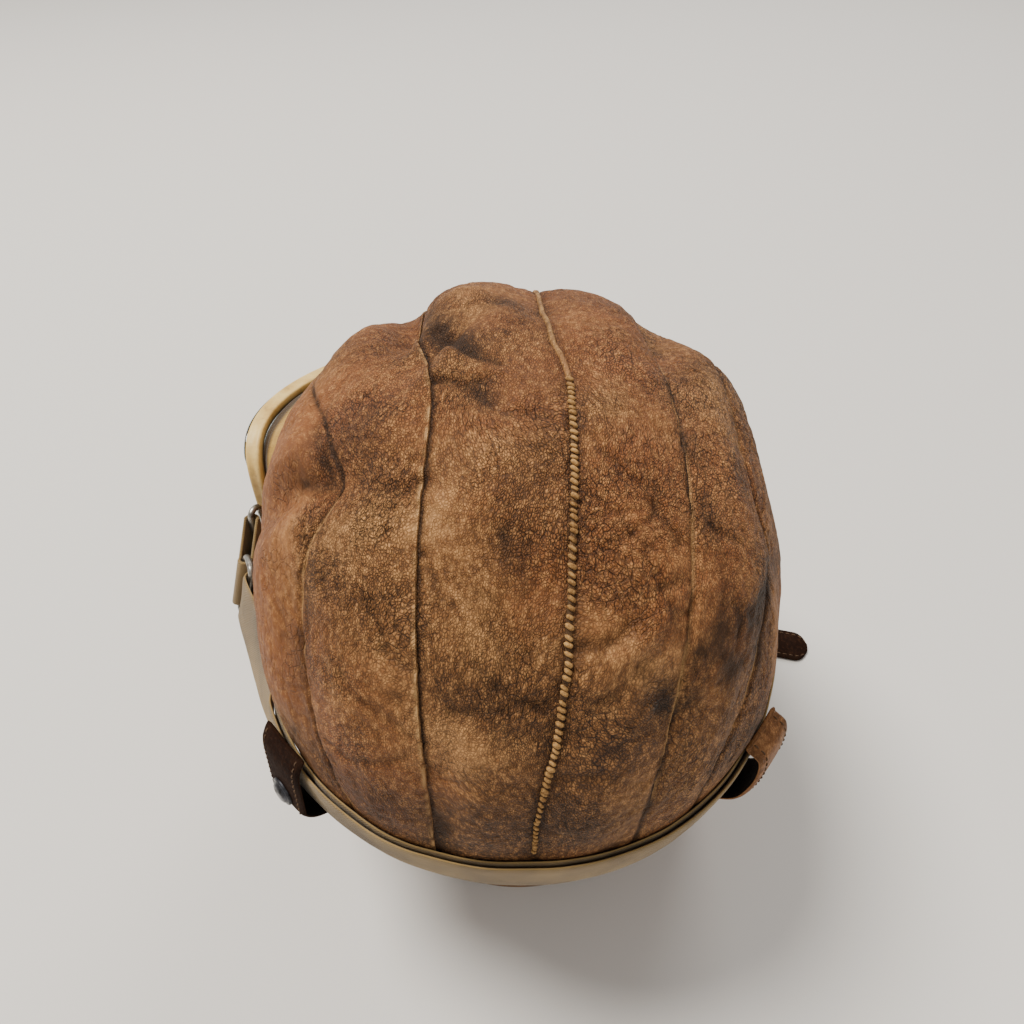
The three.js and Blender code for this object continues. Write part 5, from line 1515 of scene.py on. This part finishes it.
def goggle_outline(grow, steps):
    """The outline as evenly spaced swings and heights."""
    power = 2 / GOGGLE_SQUARENESS
    angle = np.linspace(0, 2 * math.pi, 2400)
    swing = goggle_reach(grow) * smooth_power(np.cos(angle), power)
    height = (GOGGLE_HALF_HEIGHT + grow) * smooth_power(np.sin(angle), power)
    height = height + np.where(np.sin(angle) < 0, nose_rise(swing), 0)
    place = lengths_along(np.stack([swing * DEGREE * FRONT_REACH, height], axis=-1))
    even = np.linspace(0, place[-1], steps + 1)[:-1]
    return np.interp(even, place, swing), np.interp(even, place, height)


def goggle_ring(name, grow, inner, outer, section, inner_curl, recess_shade, lumpy=0.0):
    """A ring round the goggles. The section's first number runs off the wall, from -1 to 1
    over the ring's depth, and its second across the ring's wall, in millimetres."""
    swing, height = goggle_outline(grow, GOGGLE_STEPS)
    curl = end_curl(swing, grow)
    depth = outer - inner - curl * (1 - inner_curl)
    middles = goggle_face(swing, height, inner + depth / 2 - curl * inner_curl)
    across, out = run_frames(middles, outward(turn_of(middles)), True)
    # The section's second direction points away from the goggles' middle
    out = out * np.sign((out * (middles - middles.mean(axis=0))).sum())
    lumps = noise_of(middles, 12, 110, 2)[:, None] * lumpy
    deep = section[:, 0] * (depth / 2)[:, None] * (1 + lumps / 3)
    points, faces = tube(swept(middles, across, out, deep, section[:, 1] * (1 + lumps)), True)
    return oriented(make_mesh(name, points, faces, {"recess_shade": np.tile(recess_shade, GOGGLE_STEPS)}, 40))


def build_goggles():
    # The rim: rolled lips with a shallow channel between them
    half = RIM_WALL / 2
    section = rounded_section(half, 4, 40)
    section[:, 1] -= 0.55 * bell(section[:, 0], 0.42) * (section[:, 1] > 0)
    # Its inward faces carry painted shade, for the recess beside the cushion
    inward = smooth((0.2 - section[:, 1] / half) / 0.5) * 0.9
    rim = goggle_ring("goggle_rim_frame", 0, RIM_INNER, RIM_OUTER, section, 1, inward)
    finish_piece(rim, RIM_FINISH, "rim", "goggle_rim")

    # The cushion: a soft roll with puckers and a seam on its outer side
    section = rounded_section(CUSHION_WALL / 2, 2.5, 32)
    section[:, 1] -= 0.45 * bell(section[:, 0] - 0.45, 0.09) * (section[:, 1] > 0)
    # Its front part, tucked into the rim's recess, carries painted shade
    recess_shade_share = smooth((section[:, 0] - 0.1) / 0.2) * 0.95
    cushion_front = CUSHION_OUTER + CUSHION_TUCK
    cushion = goggle_ring(
        "goggle_cushion_cloth", -RIM_RECESS, CUSHION_CLEARANCE, cushion_front, section, 0, recess_shade_share, 0.06)
    finish_piece(cushion, CUSHION_CLOTH, "cushion", "goggle_cushion")

    # The lens
    grow = LENS_OVERLAP - RIM_WALL / 2
    round_ends = np.sin(np.linspace(-math.pi / 2, math.pi / 2, 120))[:, None]
    swing = LENS_REACH * goggle_reach(grow) * round_ends
    narrowing = 1 - (LENS_REACH * np.abs(round_ends)) ** GOGGLE_SQUARENESS
    high = (GOGGLE_HALF_HEIGHT + grow) * narrowing ** (1 / GOGGLE_SQUARENESS)
    height = high + (nose_rise(swing) - 2 * high) * np.linspace(0, 1, 24)
    curl = end_curl(swing, grow)
    faces = [goggle_face(swing, height, LENS_INNER + thick - curl) for thick in (LENS, 0)]
    lens = make_sheet("goggle_lens_sheet", *faces, None, 0.2, sharp=50)
    finish_piece(lens, LENS_FINISH, "lens", "goggle_lens")


# Wire rings, the slide, the link and the buckle

def densify(rows, step):
    """More rows on the long stretches of a closed run. Each row starts with its point."""
    dense = []
    for here, there in zip(rows, np.roll(rows, -1, axis=0)):
        pieces = max(1, int(np.linalg.norm(there[:3] - here[:3]) / step))
        dense += [here + (there - here) * s / pieces for s in range(pieces)]
    return np.array(dense)


def build_ring(node, rear_bar, ahead, up, length, strap_width):
    """A rounded wire ring for a strap, from the middle of its rear bar."""
    half_height = strap_width / 2 + WIRE_RADIUS + 2 * WIRE_CLEARANCE
    middle = rear_bar + ahead * length / 2
    corner = min(WIRE_CORNER * 1.6, length / 2.2)
    points = []
    for side, level in ((-1, -1), (1, -1), (1, 1), (-1, 1)):
        hub = middle + ahead * side * (length / 2 - corner) + up * level * (half_height - corner)
        for angle in np.linspace(0, math.pi / 2, 6)[::-side * level]:
            points.append(hub + (ahead * side * math.sin(angle) + up * level * math.cos(angle)) * corner)
    points = densify(np.array(points), 1.5)
    across, out = run_frames(points, unit(np.cross(ahead, up)), True)
    angle = np.arange(WIRE_SIDES) * 2 * math.pi / WIRE_SIDES
    rings = swept(points, across, out, WIRE_RADIUS * np.cos(angle), WIRE_RADIUS * np.sin(angle))
    made = make_mesh(node + "_wire", *tube(rings, True), None, 60)
    finish_piece(oriented(made), STEEL, "steel", node)


def flat_section(width, thick, steps, columns):
    """A flat strap's section with rounded edges, once round: places across and heights."""
    half, thin = (width - thick) / 2, thick / 2
    angles = np.linspace(-math.pi / 2, math.pi / 2, 2 * steps)
    right = np.stack([half + thin * np.cos(angles), thin * np.sin(angles)], axis=-1)
    places = np.linspace(half, -half, columns)[1:-1]
    top = np.stack([places, 0 * places + thin], axis=-1)
    return np.concatenate([right, top, -right, -top]).T


def build_link(front_bar, front_up, rear_bar, ahead):
    """Webbing round the slide's front bar and the ring's rear bar."""
    away = outward(float(turn_of(rear_bar)))
    rows = []
    for bar, up, start in ((front_bar, front_up, 0.0), (rear_bar, UP, math.pi)):
        for angle in start + np.linspace(0, math.pi, 13):
            out = away * math.cos(angle) - ahead * math.sin(angle)
            rows.append(np.concatenate([bar + out * BAR_BEND, up, out]))
    middles, ups, outs = np.split(densify(np.array(rows), 0.8), 3, axis=1)
    across, high = flat_section(WEBBING_WIDTH, WEBBING, 3, 16)
    uv = np.stack([np.repeat(lengths_along(middles), len(across)), np.tile(across, len(middles))], axis=-1)
    points, faces = tube(swept(middles, ups, unit(outs), across, high), True)
    made = make_mesh("strap_link_webbing", points, faces, None, 60, uv * MM)
    finish_piece(oriented(made), WEBBING_OLIVE, "webbing", "strap_link")


def build_strap_fittings(end, left, right):
    """The slide, the link and the rings between the strap's two ends and the goggles' rim."""
    slide_up = unit(end[0] - end[-1])
    slide_bar, slide_ahead = left[0] - slide_up * WEBBING_WIDTH / 2, left[1]
    build_ring("strap_slide", slide_bar, slide_ahead, slide_up, SLIDE_LENGTH, WEBBING_WIDTH)

    rim_middle = (RIM_INNER + RIM_OUTER) / 2 - GOGGLE_END_CURL
    bar_seat = RIM_WALL / 2 + WIRE_RADIUS + WIRE_CLEARANCE
    rim_end = goggle_face(-GOGGLE_SPAN, -RING_DROP, rim_middle)
    slide_front = slide_bar + slide_ahead * SLIDE_LENGTH
    ring_ahead = unit(unit(rim_end - slide_front) * LEVEL)
    ring_bar = rim_end - ring_ahead * (bar_seat + RING_LENGTH)
    build_ring("goggle_ring_left", ring_bar, ring_ahead, UP, RING_LENGTH, WEBBING_WIDTH)

    right_bar = right[0] - UP * WEBBING_WIDTH / 2
    right_end = goggle_face(GOGGLE_SPAN, 0.0, rim_middle)
    right_end[2] = right_bar[2]
    span = right_end - right_bar
    length = np.linalg.norm(span) - bar_seat
    build_ring("goggle_ring_right", right_bar, unit(span), UP, length, WEBBING_WIDTH)
    build_link(slide_front, slide_up, ring_bar, ring_ahead)


# The chin strap

def chin_knots(table):
    side = np.array(table["side"]) * HALF_WIDTH
    front = np.array(table["front"]) * CHIN_REACH_FRONT
    level = np.array(table["level"]) * CHIN_WIDTH + CHIN_LIFT
    return np.stack([side, front, level], axis=-1)


def flap_seat(turn):
    low, high = CHIN_LEVEL - CHIN_WIDTH / 2, CHIN_LEVEL + CHIN_WIDTH / 2
    reach = max(float(shell_radius(turn, lv) + flap_lift(abs(turn), lv)) for lv in (low, high))
    seat = outward(turn) * (reach + 2 * SEAM_GAP + CHIN_LEATHER / 2)
    seat[2] = CHIN_LEVEL
    return seat


def curve_through(knots, places):
    """Points of a smooth centripetal curve through knots, at places from 0 to the last."""
    count = len(knots)
    before = np.concatenate([[2 * knots[0] - knots[1]], knots, [2 * knots[-1] - knots[-2]]])
    points = []
    for place in places:
        i = min(int(place), count - 2)
        t = place - i
        p0, p1, p2, p3 = before[i], before[i + 1], before[i + 2], before[i + 3]
        d0, d1, d2 = (np.linalg.norm(b - a) ** 0.5 for a, b in ((p0, p1), (p1, p2), (p2, p3)))
        t1 = ((p1 - p0) / d0 - (p2 - p0) / (d0 + d1) + (p2 - p1) / d1) * d1
        t2 = ((p2 - p1) / d1 - (p3 - p1) / (d1 + d2) + (p3 - p2) / d2) * d1
        points.append(
            p1 + t1 * t + (-3 * p1 + 3 * p2 - 2 * t1 - t2) * t**2 + (2 * p1 - 2 * p2 + t1 + t2) * t**3)
    return np.array(points)


def chin_run(side, table, steps):
    """Points from the flap on one side along a table's knots, and how upright the strap stands."""
    seats = np.array([flap_seat(side * turn) for turn in CHIN_SEATS])
    knots = np.concatenate([seats, chin_knots(table)])
    edges = np.concatenate([np.ones(len(seats)), np.array(table["upright"])])
    places = np.linspace(0, len(knots) - 1, steps + 1)
    points = curve_through(knots, places)
    start = np.minimum(places.astype(int), len(knots) - 2)
    upright = edges[start] + (edges[start + 1] - edges[start]) * smooth(places - start)
    half = CHIN_WIDTH / 2 * np.sin(upright * math.pi / 2)
    points[:, 2] = np.maximum(points[:, 2], CHIN_LIFT + half)
    return points, upright


def chin_across(points, upright):
    run = unit(np.gradient(points, axis=0))
    angle = upright * math.pi / 2
    flat = unit(np.stack([-run[:, 1], run[:, 0], 0 * run[:, 0]], axis=-1))
    return flat * np.cos(angle)[:, None] + UP * np.sin(angle)[:, None]


def leather_strap(node, middles, across, stretch):
    """A leather strap with rounded edges and a stitched groove inside each of them."""
    across, out = run_frames(middles, across)
    upward = np.sign(np.mean(out[:, 2]))
    place = np.linspace(-CHIN_WIDTH / 2, CHIN_WIDTH / 2, 17)
    edge = np.abs(place) / (CHIN_WIDTH / 2)
    half = CHIN_LEATHER / 2 * np.sqrt(np.clip(1 - edge**12, 0.2, 1))
    groove = 0.22 * bell(np.abs(place) - CHIN_WIDTH / 2 + CHIN_SEAM, 0.5)
    base = middles[:, None] + across[:, None] * (place * stretch[:, None])[..., None]
    first = base + out[:, None] * (half - groove * (upward > 0))[:, None]
    second = base - out[:, None] * (half - groove * (upward < 0))[:, None]
    layers = {"stain": 0.3 * bell(1 - edge, 0.1), "rub": 0.3 * smooth(noise_of(base, 14, 120) * 2)}
    made = make_sheet(node + "_leather", first, second, layers, 0.4)
    finish_piece(made, DARK_LEATHER, "leather_dark", node)
    top = out * upward
    parts = []
    for inset in (CHIN_SEAM - CHIN_WIDTH / 2, CHIN_WIDTH / 2 - CHIN_SEAM):
        path = middles + across * (inset * stretch)[:, None] + top * (CHIN_LEATHER / 2 - 0.2)
        parts += stitch_line(path, top, *CHIN_STITCH)
    sew(node + "_stitches", parts, BROWN_THREAD, "leather_dark")


def build_chin_strap():
    """The long side with its rounded free end, the buckle, and the short side round its bar."""
    points, upright = chin_run(-1, CHIN_ROUTE, 240)
    tip = np.array([CHIN_REACH_RIGHT, CHIN_END_FRONT, CHIN_LIFT])
    run = unit(tip - points[-1])
    rest = np.linspace(1, 0, 14)
    stretch = np.concatenate([np.ones(len(points)), np.sqrt(np.clip(1 - (1 - rest) ** 2, 0.09, 1))])
    points = np.concatenate([points, tip - run * CHIN_TIP_ROUNDING * rest[:, None]])
    upright = np.concatenate([upright, 0 * rest])
    leather_strap("chin_strap", points, chin_across(points, upright), stretch)

    buckle_in, buckle_out = chin_knots(CHIN_ROUTE)[[BUCKLE_IN, BUCKLE_OUT]]
    bend = CHIN_LEATHER / 2 + WIRE_CLEARANCE + WIRE_RADIUS
    buckle_in[2] = buckle_out[2] = CHIN_LIFT + bend
    ahead = unit(buckle_out - buckle_in)
    side = np.array([-ahead[1], ahead[0], 0])
    build_ring("chin_buckle", buckle_in, ahead, side, np.linalg.norm(buckle_out - buckle_in), CHIN_WIDTH)

    points, upright = chin_run(1, TAB_ROUTE, 90)
    angles = np.linspace(0, math.pi, 14)[:, None]
    turned = buckle_out - ahead * bend * np.sin(angles) - UP * bend * np.cos(angles)
    tail = turned[-1] + ahead * np.linspace(0, CHIN_WIDTH / 3, 6)[1:, None]
    whole = np.concatenate([points, turned, tail])
    ends = np.broadcast_to(-side, (len(turned) + len(tail), 3))
    across = np.concatenate([chin_across(points, upright), ends])
    leather_strap("chin_tab", whole, across, np.ones(len(whole)))


# Floor, light and camera

FLOOR_REACH = 6.0
FLOOR_COLOUR = (0.72, 0.7, 0.67)
LIGHT_TARGET = (0, 0, 0.12)
LIGHTS = {
    "key": {"place": (-1.3, 0.3, 3.0), "size": 1.2, "power": 150, "colour": (1, 0.95, 0.87)},
    "back": {"place": (0.9, 2.6, 2.4), "size": 1.4, "power": 42, "colour": (1, 0.96, 0.92)},
    "fill": {"place": (1.4, -2.4, 2.2), "size": 1.8, "power": 16, "colour": (1, 0.96, 0.9)},
}
WORLD_COLOUR = (1, 0.97, 0.93, 1)
WORLD_STRENGTH = 0.45
CAMERA_PLACE = (-2.6, -195.0, 336.0)
CAMERA_PITCH = 42.2
FOCAL_PIXELS = 769
FRAME_PIXELS = 1024
SENSOR = 36.0
CLIP_START = 0.01


def build_stage():
    """A pale floor under the object."""
    corners = [(x * FLOOR_REACH, y * FLOOR_REACH, 0) for x, y in ((-1, -1), (1, -1), (1, 1), (-1, 1))]
    mesh = bpy.data.meshes.new("floor")
    mesh.from_pydata(corners, [], [(0, 1, 2, 3)])
    floor = in_scene("floor", mesh)
    floor.data.materials.append(Nodes("pale_floor").shade(Base_Color=FLOOR_COLOUR, Roughness=0.75))


def build_lights():
    """Three soft lamps and an even, slightly warm surround."""
    for name, light in LIGHTS.items():
        data = bpy.data.lights.new(name, "AREA")
        data.shape = "DISK"
        data.size = light["size"]
        data.energy = light["power"]
        data.color = light["colour"]
        made = in_scene(name, data)
        made.location = light["place"]
        towards = Vector(LIGHT_TARGET) - Vector(light["place"])
        made.rotation_euler = towards.to_track_quat("-Z", "Y").to_euler()
    world = bpy.data.worlds.new("studio")
    world.use_nodes = True
    background = world.node_tree.nodes["Background"]
    background.inputs["Color"].default_value = WORLD_COLOUR
    background.inputs["Strength"].default_value = WORLD_STRENGTH
    bpy.context.scene.world = world


def build_camera():
    """The photo's own view."""
    data = bpy.data.cameras.new("camera")
    data.sensor_width = SENSOR
    data.lens = SENSOR * FOCAL_PIXELS / FRAME_PIXELS
    data.clip_start = CLIP_START
    made = in_scene("camera", data)
    made.location = (np.array(CAMERA_PLACE) + AXIS) * MM
    made.rotation_euler = ((90 - CAMERA_PITCH) * DEGREE, 0, 0)
    bpy.context.scene.camera = made


build_camera()
build_stage()
build_lights()
build_crown()
build_welt()
build_flap(-1, CROWN_LEATHER, "leather_brown", BROWN_THREAD)
build_flap(1, FLAP_LEATHER, "leather_tan", TAN_THREAD)
build_brow_band()
build_neck_curtain()
strap_end, strap_left, strap_right = build_goggle_strap()
# The left loop takes the very dark leather as painted shade, since it lies in shadow; the right loop takes
# the lighter loop leather
loop_middles, loop_out = build_loop(
    "strap_loop_left", -LOOP_TURN_LEFT, LOOP_WIDTH_LEFT, LEFT_LOOP_SHAPE, LOOP_BULGE_LEFT,
    LOOP_DROP_LEFT, DARK_LEATHER, "leather_dark")
build_loop(
    "strap_loop_right", LOOP_TURN_RIGHT, LOOP_WIDTH_RIGHT, RIGHT_LOOP_SHAPE, LOOP_BULGE_RIGHT,
    LOOP_DROP_RIGHT, LOOP_LEATHER_FINISH, "leather_brown")
build_snap(loop_middles, loop_out)
build_goggles()
build_strap_fittings(strap_end, strap_left, strap_right)
build_chin_strap()
